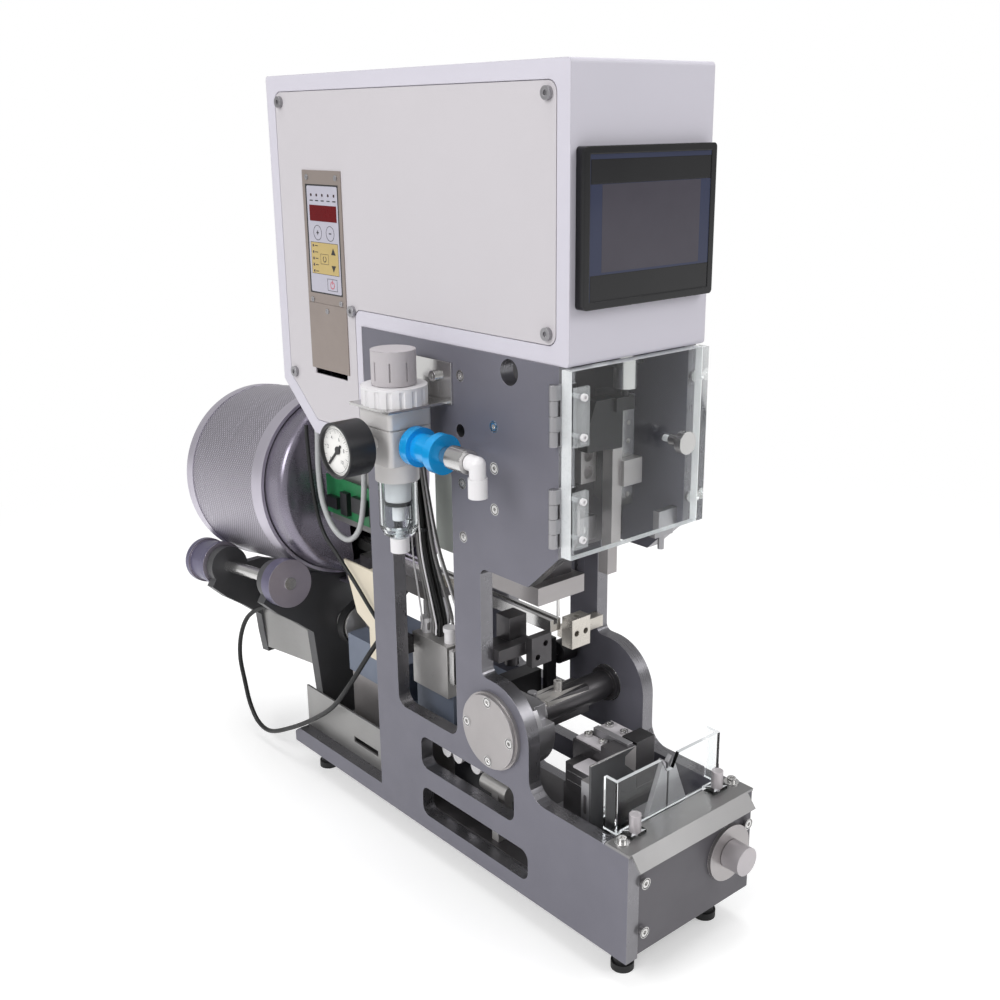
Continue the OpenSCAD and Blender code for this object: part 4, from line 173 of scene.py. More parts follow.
class Look:
    """A material that is built up node by node."""

    def __init__(self, name):
        self.material = bpy.data.materials.new(name)
        self.material.use_nodes = True
        self.tree = self.material.node_tree
        self.shader = self.tree.nodes["Principled BSDF"]
        self.place = self.node("ShaderNodeTexCoord").outputs["Object"]

    def node(self, kind, sockets=None, **settings):
        return add_node(self.tree, kind, sockets, **settings)

    def set(self, **values):
        """Sets the shader's own sockets; a name's underscores stand for spaces."""
        for key, value in values.items():
            self.shader.inputs[key.replace("_", " ")].default_value = value

    def link(self, out, key):
        self.tree.links.new(out, self.shader.inputs[key])

    def surface(self, factor, first, last):
        """Makes a mix of two shaders the surface of the material."""
        both = self.node("ShaderNodeMixShader", {0: factor, 1: first, 2: last})
        self.tree.links.new(both.outputs[0], self.tree.nodes["Material Output"].inputs["Surface"])

    def math(self, kind, a, b=0.0):
        return self.node("ShaderNodeMath", {0: a, 1: b}, operation=kind).outputs[0]

    def noise(self, scale, detail=3, stretch=None):
        place = self.place
        if stretch:
            place = self.node("ShaderNodeMapping", {"Vector": place, "Scale": stretch}).outputs[0]
        return self.node("ShaderNodeTexNoise", {"Vector": place, "Scale": scale, "Detail": detail,
                                                "Roughness": 0.55}).outputs["Fac"]

    def spread(self, value, low, high, first=0.3, last=0.7):
        """Maps value from the range first to last onto the range low to high."""
        return self.node("ShaderNodeMapRange", {"Value": value, "From Min": first, "From Max": last,
                                                "To Min": low, "To Max": high}).outputs[0]

    def mix(self, factor, a, b):
        return self.node("ShaderNodeMix", {0: factor, 6: a, 7: b}, data_type="RGBA").outputs[2]

    def edges(self, radius):
        """1 close to the sharp edges of the solid, 0 elsewhere."""
        soft = self.node("ShaderNodeBevel", {"Radius": radius}, samples=4).outputs[0]
        flat = self.node("ShaderNodeNewGeometry").outputs["Normal"]
        close = self.node("ShaderNodeVectorMath", {0: soft, 1: flat}, operation="DOT_PRODUCT")
        return self.spread(close.outputs["Value"], 1, 0, 0.8, 0.99)

    def bump(self, height, strength, distance, radius=0.0):
        sockets = {"Height": height, "Strength": strength, "Distance": distance}
        if radius:
            sockets["Normal"] = self.node("ShaderNodeBevel", {"Radius": radius}, samples=4).outputs[0]
        self.link(self.node("ShaderNodeBump", sockets).outputs[0], "Normal")


def finish(name, color, rough=0.4, metal=0.0, spread=0.06, cloud=18, grain=700, stretch=None,
           depth=0.15, round_edge=0.5, wear_and_highlight=0.0, coat=0.0, specular=0.45):
    """Painted, moulded or machined surface. Its colour clouds by spread, at the scale cloud; grain,
    stretch and depth shape its fine bumps; round_edge and wear_and_highlight are widths of its edges in
    millimetres, and within the second its edges are lightened at random, partly as wear and partly as a
    painted highlight."""
    look = Look(name)
    base = srgb(*color)
    tint = look.mix(look.spread(look.noise(cloud, 4), 0, 1), shade(base, 1 - spread), shade(base, 1 + spread))
    if wear_and_highlight:
        # The edges are lightened at random: partly worn metal, partly a painted highlight where light catches
        # the edges.
        worn_and_highlight = look.math("MULTIPLY", look.edges(wear_and_highlight * MM), look.spread(look.noise(90), 0.3, 0.7))
        tint = look.mix(worn_and_highlight, tint, shade(base, 1.7, 0.1))
    look.link(tint, "Base Color")
    fine = look.noise(grain * 3, 3, stretch)
    patches = look.math("ADD", look.math("MULTIPLY", look.noise(cloud * 2.3, 5), 0.6),
                        look.math("MULTIPLY", fine, 0.4))
    look.link(look.spread(patches, max(0.02, rough - 0.09), min(1, rough + 0.09)), "Roughness")
    look.set(Metallic=metal, Specular_IOR_Level=specular)
    if coat:
        look.set(Coat_Weight=coat, Coat_Roughness=0.08)
    look.bump(fine, depth, 0.00007, round_edge * MM)
    return look.material


def clear(name, color, rough, ior):
    """Clear plastic that lets lamp light through."""
    look = Look(name)
    look.set(Base_Color=srgb(*color), Transmission_Weight=1, IOR=ior)
    look.link(look.spread(look.noise(60, 5), rough, rough + 0.02), "Roughness")
    look.bump(look.noise(14, 2), 0.04, 0.0003)
    through = look.node("ShaderNodeBsdfTransparent", {"Color": srgb(*color)}).outputs[0]
    shadow = look.node("ShaderNodeLightPath").outputs["Is Shadow Ray"]
    look.surface(shadow, look.shader.outputs[0], through)
    return look.material


def frosted(name, color, clearness):
    """Sawn edge of clear plastic, or a clear pad: pale, and partly see-through."""
    look = Look(name)
    darker = srgb(*(c - 14 for c in color))
    look.link(look.mix(look.spread(look.noise(60, 4), 0, 1), srgb(*color), darker), "Base Color")
    look.link(look.spread(look.noise(900, 3), 0.2, 0.4), "Roughness")
    look.bump(look.noise(1800, 2), 0.1, 0.0001, 0.0004)
    through = look.node("ShaderNodeBsdfTransparent").outputs[0]
    look.surface(clearness, look.shader.outputs[0], through)
    return look.material


def knurled(name, color):
    """Machined drum skin: two crossed sets of spiral grooves over its middle, darkened in their valleys with
    painted shade, smooth bands at its ends.
    """
    look = Look(name)
    centre = (0, DRUM_Y * MM, DRUM_Z * MM)
    axis = look.node("ShaderNodeVectorMath", {0: look.place, 1: centre}, operation="SUBTRACT").outputs[0]
    own = look.node("ShaderNodeVectorRotate", {"Vector": axis, "Axis": (1, 0, 0), "Angle": DRUM_TILT},
                    rotation_type="AXIS_ANGLE").outputs[0]
    x, along, z = look.node("ShaderNodeSeparateXYZ", {0: own}).outputs
    around = look.math("MULTIPLY", look.math("ARCTAN2", x, z), KNURL_GROOVES)
    ridges = []
    for sign in (1, -1):
        climb = look.math("MULTIPLY", along, sign * 2 * math.pi / (KNURL_PITCH * MM))
        wave = look.math("COSINE", look.math("ADD", around, climb))
        ridges.append(look.math("MULTIPLY", look.math("ADD", wave, 1), 0.5))
    bumps = look.math("MULTIPLY", *ridges)
    middle = look.math("MULTIPLY", look.math("GREATER_THAN", along, KNURL_START * MM),
                       look.math("LESS_THAN", along, KNURL_END * MM))
    base = srgb(*color)
    tint = look.mix(look.spread(look.noise(14, 4), 0, 1), shade(base, 0.9), base)
    # Painted shade: the valleys between the knurl's ridges are darkened towards 0.42 of the base colour.
    valley_shade = look.math("MULTIPLY", middle, look.spread(bumps, 0.85, 0, 0.05, 0.55))
    look.link(look.mix(valley_shade, tint, shade(base, 0.42)), "Base Color")
    look.set(Metallic=0.9)
    rings = look.noise(160, 3, (0.04, 1, 0.04))
    look.link(look.spread(rings, 0.27, 0.42), "Roughness")
    height = look.math("ADD", look.math("MULTIPLY", bumps, middle), look.math("MULTIPLY", rings, 0.02))
    look.bump(height, 0.85, 0.0005)
    return look.material


# Steel, aluminium and their coatings: colour, roughness, metal and spread of the colour
plate_paint = finish("plate_paint", (112, 111, 121), 0.46, 0.35, 0.04, grain=1500, depth=0.12, wear_and_highlight=0.6)
milled = finish("milled_steel", (126, 125, 129), 0.3, 0.85, 0.1, cloud=20, grain=500,
                stretch=(1, 0.08, 0.08), depth=0.04, round_edge=0.4, wear_and_highlight=0.3)
steel = finish("plain_steel", (160, 159, 162), 0.34, 0.85, 0.08, grain=600, depth=0.12, wear_and_highlight=0.4)
sheet_steel = finish("sheet_steel", (152, 151, 150), 0.4, 0.75, 0.08, cloud=9, grain=500,
                     stretch=(1, 0.05, 1), depth=0.1, wear_and_highlight=0.4)
dark_steel = finish("dark_steel", (84, 82, 84), 0.34, 0.7, 0.12, cloud=22, wear_and_highlight=0.4)
black_oxide = finish("black_oxide", (38, 37, 39), 0.42, 0.4, 0.15, cloud=30, grain=900, depth=0.2, wear_and_highlight=0.35)
bright = finish("bright_steel", (205, 204, 203), 0.2, 0.95, 0.05, cloud=12, grain=420,
                stretch=(1, 1, 0.1), depth=0.06)
polished = finish("polished_sheet", (142, 141, 141), 0.36, 0.8, 0.06, cloud=9, grain=500,
                  stretch=(0.06, 1, 1), depth=0.01, round_edge=0.2)
turned = finish("turned_steel", (166, 162, 162), 0.34, 0.7, 0.06, cloud=16, grain=600, depth=0.1,
                round_edge=0.4, wear_and_highlight=0.4)
knob_steel = finish("knob_steel", (182, 177, 180), 0.4, 0.45, 0.05, cloud=22, depth=0.1,
                    round_edge=0.6, wear_and_highlight=0.5)
hub_steel = finish("hub_steel", (190, 187, 184), 0.32, 0.6, 0.08, cloud=24, grain=600, depth=0.1,
                   round_edge=0.4, wear_and_highlight=0.4)
nickel = finish("nickel_plate", (200, 195, 187), 0.3, 0.75, 0.12, cloud=30, grain=520, depth=0.12, wear_and_highlight=0.3)
aluminium = finish("natural_aluminium", (196, 194, 192), 0.36, 0.7, 0.05, cloud=20, grain=900,
                   depth=0.14, wear_and_highlight=0.3)
taupe = finish("brushed_taupe", (150, 139, 133), 0.36, 0.5, 0.03, cloud=40, grain=520,
               stretch=(1, 0.04, 1), depth=0.03, round_edge=0.3)
hood_skin = finish("hood_skin", (132, 127, 140), 0.28, 0.75, 0.08, cloud=16, grain=500, depth=0.015,
                   round_edge=0.8)
drum_skin = knurled("knurled_steel", (206, 201, 213))

# Paints
feeder_paint = finish("feeder_paint", (112, 120, 136), 0.45, 0.25, grain=1100, depth=0.3, wear_and_highlight=0.4)
white_paint = finish("white_paint", (202, 199, 209), 0.4, 0.0, 0.012, cloud=8, grain=1300, depth=0.3,
                     round_edge=0.9)
cover_paint = finish("cover_paint", (196, 192, 196), 0.42, 0.0, 0.012, cloud=8, grain=1300, depth=0.3)
cream_paint = finish("cream_paint", (226, 216, 196), 0.45, 0.0, 0.03, grain=1000, depth=0.25,
                     round_edge=0.4)
pale_paint = finish("pale_paint", (206, 212, 206), 0.4, 0.0, 0.03, grain=1000, depth=0.25, round_edge=0.4)
panel_paint = finish("panel_paint", (88, 86, 91), 0.4, 0.45, 0.05, grain=1300, depth=0.16, wear_and_highlight=0.45)
cradle_paint = finish("cradle_paint", (82, 82, 84), 0.42, 0.45, 0.08, grain=900, depth=0.18, wear_and_highlight=0.4)
motor_black = finish("motor_black", (45, 46, 49), 0.4, 0.3, 0.1, grain=900, depth=0.25)

# Plastics and rubber
black_plastic = finish("black_plastic", (26, 26, 29), 0.32, 0.0, 0.1, grain=1500)
gloss_black = finish("gloss_black", (17, 17, 20), 0.2, 0.0, 0.1, cloud=5, grain=1800, depth=0.03,
                     round_edge=1.2)
screen_grey = finish("screen_grey", (52, 57, 80), 0.14, 0.0, 0.05, cloud=9, grain=2500, depth=0.02,
                     round_edge=0, specular=0.3)
screen_dark = finish("screen_dark", (70, 67, 76), 0.14, 0.0, 0.1, cloud=16, grain=2500, depth=0.02,
                     round_edge=0, specular=0.3)
white_plastic = finish("white_plastic", (228, 226, 228), 0.34, 0.0, 0.03, grain=1200, depth=0.12)
body_grey = finish("regulator_grey", (212, 209, 208), 0.36, 0.15, 0.05, grain=900, depth=0.25,
                   round_edge=1.0)
knob_grey = finish("knob_grey", (182, 177, 180), 0.42, 0.0, 0.04, grain=1100, depth=0.25, round_edge=1.0)
valve_blue = finish("valve_blue", (22, 160, 230), 0.22, 0.2, grain=900, depth=0.08, round_edge=0.7,
                    coat=0.3)
rubber = finish("black_rubber", (24, 24, 25), 0.6, 0.0, 0.15, grain=1200, depth=0.3)
roller_end = finish("roller_end", (158, 151, 162), 0.34, 0.5, 0.08, cloud=30, grain=600, depth=0.1,
                    round_edge=0.6, wear_and_highlight=0.5)
roller_skin = finish("roller_skin", (104, 100, 124), 0.34, 0.55, 0.08, cloud=30, grain=600,
                     round_edge=0.6, wear_and_highlight=0.5)
board_green = finish("board_green", (34, 112, 68), 0.35, 0.0, 0.12, cloud=90, grain=400, depth=0.5)
sheath = finish("cable_sheath", (22, 22, 23), 0.48, 0.0, 0.1, cloud=60, grain=900, depth=0.2, round_edge=0)
grey_sheath = finish("grey_sheath", (120, 118, 118), 0.44, cloud=60, grain=900, round_edge=0)
hose_white = finish("hose_white", (176, 177, 178), 0.3, 0.0, 0.04, cloud=60, grain=900, depth=0.05,
                    round_edge=0)
dial_white = finish("dial_white", (238, 237, 234), 0.4, 0.0, 0.01, grain=900, depth=0.03, round_edge=0)
acrylic = clear("clear_acrylic", (250, 252, 252), 0.0, 1.25)
bowl_clear = clear("bowl_clear", (238, 242, 243), 0.02, 1.3)
clear_edge = frosted("clear_edge", (240, 243, 245), 0.25)
clear_pad = frosted("clear_pad", (226, 229, 231), 0.74)

# Printed colours
ink = finish("print_black", (30, 29, 32), 0.35, 0.0, 0.08, round_edge=0)
key_grey = finish("keypad_grey", (178, 176, 188), 0.34, 0.0, 0.03, grain=1500, depth=0.05, round_edge=0)
key_beige = finish("keypad_beige", (186, 164, 106), 0.36, 0.0, 0.05, grain=1500, depth=0.05, round_edge=0)
key_red = finish("display_red", (96, 0, 8), 0.3, grain=1500, depth=0.02, round_edge=0, specular=0.12)
print_red = finish("print_red", (190, 70, 84), 0.36, 0.0, 0.05, round_edge=0)
lamp_dark = finish("lamp_dark", (58, 36, 40), 0.2, 0.0, 0.08, round_edge=0, coat=0.4)

# The free motor cable, along the same route as its solid
CABLE_ORIGIN = (-69.5, 227, 26)
CABLE_PLACES = [
    (25.9, 40.6, 123.5), (23, 40.6, 123.5), (20, 40.6, 123.5), (15.5, 41.5, 123.7), (9, 49, 124),
    (6, 62, 122), (2.5, 86, 105), (-0.5, 98, 82), (-2.5, 100, 57), (-3.5, 92, 32), (-4.5, 82, 10),
    (-4.5, 67, -5), (-4.5, 43, -6), (-4.5, 5, 12), (-3.5, -37, 37), (-3.5, -77, 66),
    (-1.5, -105, 98), (7.5, -125, 132), (15.5, -134, 150), (18.5, -137, 154), (18.5, -143, 154),
    (18.5, -149, 154)
]
CABLE_ROUTE = placed(CABLE_PLACES, CABLE_ORIGIN)
cable_path = spline(CABLE_ROUTE, 8)
cable = tubes("motor_cable_skin", [cable_path], 2.25, 20, sheath)
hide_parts("motor_cable")


# Materials of the frame's nodes
def corners(mesh):
    """The places of a mesh's vertices in millimetres."""
    co = np.empty(len(mesh.vertices) * 3)
    mesh.vertices.foreach_get("co", co)
    return co.reshape(-1, 3) * 1000


def solids(mesh):
    """The lowest and highest corner, in millimetres, of the solid that each face belongs to."""
    co = corners(mesh)
    _, joined = np.unique(np.round(co, 2), axis=0, return_inverse=True)
    joined = joined.ravel()
    edges = np.array([e.vertices[:] for e in mesh.edges])
    a, b = joined[edges[:, 0]], joined[edges[:, 1]]
    label = np.arange(joined.max() + 1)
    while True:
        low = np.minimum(label[a], label[b])
        new = label.copy()
        np.minimum.at(new, a, low)
        np.minimum.at(new, b, low)
        new = new[new]
        if (new == label).all():
            break
        label = new
    owner = label[joined]
    lows, highs = {}, {}
    for name in np.unique(owner):
        lows[name] = co[owner == name].min(axis=0)
        highs[name] = co[owner == name].max(axis=0)
    first = [owner[p.vertices[0]] for p in mesh.polygons]
    return np.array([lows[f] for f in first]), np.array([highs[f] for f in first])


def faces_of(mesh):
    """Centre x, y, z and normal nx, ny, nz of each face, and the span of its solid, from x0, y0, z0
    to x1, y1, z1, in millimetres."""
    centres = np.array([p.center[:] for p in mesh.polygons]) * 1000
    normals = np.array([p.normal[:] for p in mesh.polygons])
    lows, highs = solids(mesh)
    columns = np.hstack([centres, normals, lows, highs]).T
    return SimpleNamespace(mesh=mesh, **dict(zip("x y z nx ny nz x0 y0 z0 x1 y1 z1".split(), columns)))


def paint(node, base, *rules):
    """Gives a node's faces their materials. A rule is a material and a test on the node's faces_of;
    a later rule goes over an earlier one."""
    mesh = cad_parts[node].data
    mesh.materials.clear()
    mesh.materials.append(base)
    index = np.zeros(len(mesh.polygons), dtype=int)
    if rules:
        faces = faces_of(mesh)
        for material, test in rules:
            mesh.materials.append(material)
            index[test(faces)] = len(mesh.materials) - 1
    mesh.polygons.foreach_set("material_index", index)
    mesh.update()


def widths(mesh):
    """How wide each face is, in millimetres, if its diagonal is taken as its length."""
    out = []
    for p in mesh.polygons:
        box = np.array([mesh.vertices[v].co[:] for v in p.vertices])
        out.append(p.area * 1e6 / (1000 * np.linalg.norm(box.max(axis=0) - box.min(axis=0))))
    return np.array(out)


def flat_end(f):
    """The faces square to the drum's axis."""
    return abs(f.ny * math.cos(DRUM_TILT) - f.nz * math.sin(DRUM_TILT)) > 0.95


def shaft_end(axis_x, reach):
    """A test for a roller's faces that have all their corners within reach of its axis."""
    def test(f):
        co = corners(f.mesh)
        y, z = co[:, 1] - DRUM_Y, co[:, 2] - DRUM_Z
        own_z = y * math.sin(DRUM_TILT) + z * math.cos(DRUM_TILT)
        far = np.hypot(co[:, 0] - axis_x, own_z - ROLLER_Z)
        return np.array([max(far[list(p.vertices)]) < reach for p in f.mesh.polygons])
    return test


def button_heads(f):
    """The heads of the jaws' screws."""
    return (f.z > 151.05) & (f.z < 156.5) & (f.y > -150)


for side in ("left", "right"):
    paint("side_plate_" + side, plate_paint, (milled, lambda f: abs(f.nx) < 0.5))  # edges
paint("base_floor", dark_steel)
paint("feet", rubber)
paint("cover_sheets", sheet_steel,
      (cream_paint, lambda f: (f.z0 > 140) & (f.x1 < -20) & (f.z1 > 230)),  # guard at the feeder
      (pale_paint, lambda f: (f.x0 > -3) & (f.x1 < 3)))  # baffle in the middle
paint("front_panel", panel_paint, (turned, lambda f: f.y < -227.3))  # flange of the knob's bush
paint("deck_cover", polished)
paint("clear_guards", acrylic,
      (clear_edge, lambda f: (widths(f.mesh) < 2.6) & (abs(f.nz) > 0.5)))  # sawn edges
paint("guide_blocks", steel,
      (nickel, lambda f: (f.x0 > 0) & (f.z0 > 200)),  # nest right of the needle
      (dark_steel, lambda f: (f.x1 < 0) & (f.z0 > 190)))  # nest left of it
paint("cabinet_shell", white_paint)
paint("cabinet_cover", cover_paint)
paint("cabinet_screws", steel)
paint("controller_panel", taupe,  # its body behind the strip, and the insert of the keypad
      (black_plastic, lambda f: (f.x > -68.4) | ((f.y > 103.3) & (f.y < 152.2)
                                                 & (f.z > 478.8) & (f.z < 567.7))))
paint("operator_panel", gloss_black,
      (screen_grey, lambda f: (f.ny < -0.9) & (f.y > -169.8) & (f.y < -168.5)))  # glass of the screen
paint("bearing_covers", turned)
paint("shaft_bearings", bright)
paint("frame_screws", bright,
      (knob_steel, lambda f: (f.z > 117) & (f.y < -205) & (abs(f.x) < 55)))  # thumb screws on the deck
paint("head_plates", dark_steel)
paint("head_rails", bright)
paint("head_brackets", black_oxide,
      (turned, lambda f: (f.z1 < 390) & (f.z0 > 350)),  # upper fixed block
      (steel, lambda f: f.z1 < 345))  # lower block and the ear
paint("hinge_leaves", steel)
paint("gripper_base", steel, (bright, lambda f: f.z > 84.2))  # guide rail on its top
paint("transfer_stops", black_oxide)
paint("feeder_base", feeder_paint, (turned, lambda f: f.z < 109))  # steel base at the bottom
paint("leaf_springs", steel)
paint("air_cylinders", aluminium,
      (bright, lambda f: (f.z1 - f.z0 < 40) & (f.z0 > 420)),  # sleeve of the press cylinder
      (dark_steel, lambda f: (f.z0 > 190) & (f.z1 < 240)))  # gate bar with its tip
paint("air_fittings", white_plastic,
      (black_plastic, lambda f: (f.x > -36.05) & (f.z < 112.5)))  # valve block
paint("driver_board", sheet_steel,
      (board_green, lambda f: (f.x < -39.9) & (f.z0 > 200)),
      (black_plastic, lambda f: (f.x < -41.7) & (f.z0 > 200)),  # chips
      (black_oxide, lambda f: f.z1 < 200))  # cable clamp
paint("cradle_plates", cradle_paint)
paint("drive_motor", motor_black)
paint("drive_belt", rubber)
paint("drum_hood", hood_skin)
paint("regulator_bracket", bright)
paint("regulator_body", body_grey, (white_plastic, lambda f: f.z0 > 412))  # ring nut
paint("filter_bowl", bowl_clear,
      (white_plastic, lambda f: f.x1 - f.x0 < 26),  # cap and tube inside
      (black_plastic, lambda f: (f.x1 - f.x0 < 26) & (f.z1 - f.z > 16.9) & (f.z1 - f.z < 20.2)))  # baffle
paint("pressure_gauge", black_plastic,
      (dial_white, lambda f: (f.nx < -0.9) & (f.x > -154.5)))  # sunk dial
paint("valve_core", bright)
paint("clear_door", acrylic, (clear_edge, lambda f: abs(f.ny) < 0.5))  # sawn edges
paint("door_hinges", steel,
      (clear_pad, lambda f: (abs(f.y + 167.5) < 1.6) & (f.x < -55.4)),  # pads on the door
      (white_plastic, lambda f: f.y < -169.1))  # heads of the white screws
paint("door_knob", bright)
paint("press_carriage", black_oxide,
      (bright, lambda f: (f.z0 > 400) & (f.x1 - f.x0 < 8)),  # rod
      (turned, lambda f: f.z < 381.5))  # long bar and slider
paint("needle_block", turned,
      (dark_steel, lambda f: f.z > 267.1),  # upright and its rod
      (bright, lambda f: f.z < 251.9))  # needle
paint("transfer_shaft", dark_steel,
      (hub_steel, lambda f: (f.x > -34) & (f.x < 10) & ((f.z > 167) | (f.y < -93))),  # hub and tube
      (steel, lambda f: f.x < -23))  # cam disc and clamp screw
paint("gripper_slide", dark_steel)
paint("jaw_left", dark_steel,
      (cradle_paint, lambda f: f.y < -167.2),  # front plate
      (bright, lambda f: (f.y < -167.2) & (f.nz > 0.5)),  # its top edge, painted bright as a highlight
      (bright, button_heads))
paint("jaw_right", black_oxide, (dark_steel, lambda f: f.ny < -0.5), (bright, button_heads))
paint("front_knob", knob_steel)
paint("regulator_knob", knob_grey)
paint("gauge_needle", black_plastic)
paint("valve_sleeve", valve_blue)
paint("air_elbow", white_plastic)
paint("drain_knob", white_plastic)
paint("feed_drum", drum_skin)
paint("roller_left", roller_skin, (roller_end, flat_end), (bright, shaft_end(-ROLLER_X, 8)))
paint("roller_right", roller_skin, (roller_end, flat_end), (bright, shaft_end(ROLLER_X, 8)))
paint("motor_pulley", aluminium)
paint("feed_track", bright, (dark_steel, lambda f: f.z < 221.9))  # bed under the track
paint("pusher_plate", bright)


# Wires inside the column, with their ties, and the cable and hose behind it. The black wires keep
# the places of the solids; thinner ones lie around them and part at the lower end.
BUNDLE_Y, BUNDLE_TOP, BUNDLE_DROP = -34.5, 458, 270
WIRE_PLACES = [(-38, 90, 0), (-38, 90, 0.1), (-38, 90, 0.25), (-38, 89, 0.42), (-41, 80, 0.56),
               (-42, 74, 0.7), (-36, 72, 0.83), (-29, 73, 0.94), (-29, 73, 0.97), (-29, 73, 1)]
BLACK_WIRES = [(x, y) for x in (0, 5.8) for y in (0, 5.8)]  # places in the bundle
THIN_WIRES = [(-2.9, 3, -3, -2), (2.9, -3.1, 3, -9), (9, 2.5, 6, -2), (8.6, -1, 10, -8), (2.5, 9, -6, 3)]
FINE_WIRES = [(-2.6, -0.6, -6, -5), (5.6, -2.8, 7, -12), (8.8, 6, 9, 2), (-1.2, 8.6, -9, 5)]
BUNDLE_MIDDLE = (2.9, 2.9)
TIES = [(16, 0.6), (18, 1.0), (27, 1.4)]  # point of the bundle's line, and how much the wires swell
REAR_ORIGIN = (-69.5, 78, 355)
REAR_CABLE = [(9.5, 110, 0), (9.5, 110, -4), (9.3, 109.5, -12), (9, 107, -38), (9, 102, -70), (9, 90, -97),
              (9.2, 67, -115), (10, 44, -133), (12, 25, -152), (15.5, 14, -166), (18.5, 7, -169.8),
              (18.5, 3, -169.8), (18.5, 0, -169.8)]
REAR_HOSE = [(17, 104, 0), (17, 104, -4), (16.5, 103.5, -14), (14, 101, -40), (12.5, 94, -70), (14, 80, -92),
             (15.5, 60, -98), (16, 42, -84), (16, 33, -56), (16, 30, -24), (16, 30, -4), (16, 30, 0)]


def bundle(dx, dy, part_x=0.0, part_y=0.0):
    """Line of a wire at dx, dy in the bundle, which parts by part_x, part_y over its lower half."""
    out = []
    for x, y, share in WIRE_PLACES:
        low = max(0.0, share - 0.5) * 2
        out.append(((x + dx + part_x * low) * MM, (y + BUNDLE_Y + dy + part_y * low) * MM,
                    (BUNDLE_TOP - BUNDLE_DROP * share) * MM))
    return spline(out, 6)


def rounded(turn):
    """Cosine or sine of a soft square in place of a circle."""
    return math.copysign(abs(turn) ** 0.6, turn)


def cable_tie(mid, way, swell):
    """Three strands side by side round the bundle at mid, which runs along way, and their lock."""
    u = (Vector((1, 0, 0)) - way * way.x).normalized()
    v = way.cross(u)
    turns = [2 * math.pi * i / 28 for i in range(29)]
    loop = [mid + (u * rounded(math.cos(a)) + v * rounded(math.sin(a))) * (5.6 + swell) * MM for a in turns]
    parts = [tube_mesh([q + way * lift * MM for q in loop], 0.7 * MM, 8) for lift in (-0.9, 0, 0.9)]
    lock = mid + u * -(6.4 + swell) * MM
    ends = [lock - v * 2.2 * MM, lock - v * 2 * MM, lock + v * 2 * MM, lock + v * 2.2 * MM]
    return parts + [tube_mesh(ends, 1.7 * MM, 8)]


black_wires = tubes("black_wires", [bundle(*a) for a in BLACK_WIRES], 2, 14, sheath)
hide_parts("wire_bundle")
tubes("thin_wires", [bundle(*a)[:-3] for a in THIN_WIRES], 1.1, 10, grey_sheath)
tubes("fine_wires", [bundle(*a)[:-4] for a in FINE_WIRES], 0.8, 8, white_plastic)
tubes("rear_cable", [spline(placed(REAR_CABLE, REAR_ORIGIN), 6)], 1.8, 16, sheath)
tubes("rear_hose", [spline(placed(REAR_HOSE, REAR_ORIGIN), 6)], 2.5, 18, hose_white)
ties = []
for k, swell in TIES:
    line = bundle(*BUNDLE_MIDDLE)
    ties += cable_tie(line[k], (line[k + 1] - line[k - 1]).normalized(), swell)
mesh_object("wire_ties", *merged(ties), black_plastic, smooth=True)


# Flat printed shapes, drawn in the plane of a face and raised a little off it
def arc_points(x, y, r, first=0, last=360, steps=40):
    angles = [math.radians(first + (last - first) * k / steps) for k in range(steps + 1)]
    return [(x + r * math.cos(a), y + r * math.sin(a)) for a in angles]


def disc(x, y, r, steps=32):
    return arc_points(x, y, r, 0, 360 * (steps - 1) / steps, steps - 1)


def bar(x, y, w, h):
    return [(x - w / 2, y - h / 2), (x + w / 2, y - h / 2), (x + w / 2, y + h / 2), (x - w / 2, y + h / 2)]


def soft_bar(x, y, w, h, r):
    out = []
    for sx, sy, first in ((1, -1, -90), (1, 1, 0), (-1, 1, 90), (-1, -1, 180)):
        out += arc_points(x + sx * (w / 2 - r), y + sy * (h / 2 - r), r, first, first + 90, 6)
    return out


def ring(x, y, r, wall, first=0, last=360, steps=40):
    """Four-cornered pieces that make up a ring or a part of one."""
    outer = arc_points(x, y, r, first, last, steps)
    inner = arc_points(x, y, r - wall, first, last, steps)
    return [[outer[k], outer[k + 1], inner[k + 1], inner[k]] for k in range(steps)]


def border(x, y, w, h, wall):
    return ([bar(x, y + s * (h - wall) / 2, w, wall) for s in (-1, 1)]
            + [bar(x + s * (w - wall) / 2, y, wall, h) for s in (-1, 1)])


def printed(name, origin, u, v, shapes, material, lift=0.05, body="frame"):
    """Thin raised shapes on the plane through origin with the axes u and v, sizes in millimetres."""
    o, u, v = Vector(origin), Vector(u), Vector(v)
    n = u.cross(v)
    verts, faces = [], []
    for shape in shapes:
        k, first = len(shape), len(verts)
        for height in (0, lift):
            verts += [(o + u * x + v * y + n * height) * MM for x, y in shape]
        faces.append(tuple(first + k + i for i in range(k)))
        faces.append(tuple(first + i for i in range(k - 1, -1, -1)))
        for i in range(k):
            j = (i + 1) % k
            faces.append((first + i, first + j, first + k + j, first + k + i))
    return mesh_object(name, verts, faces, material, body)


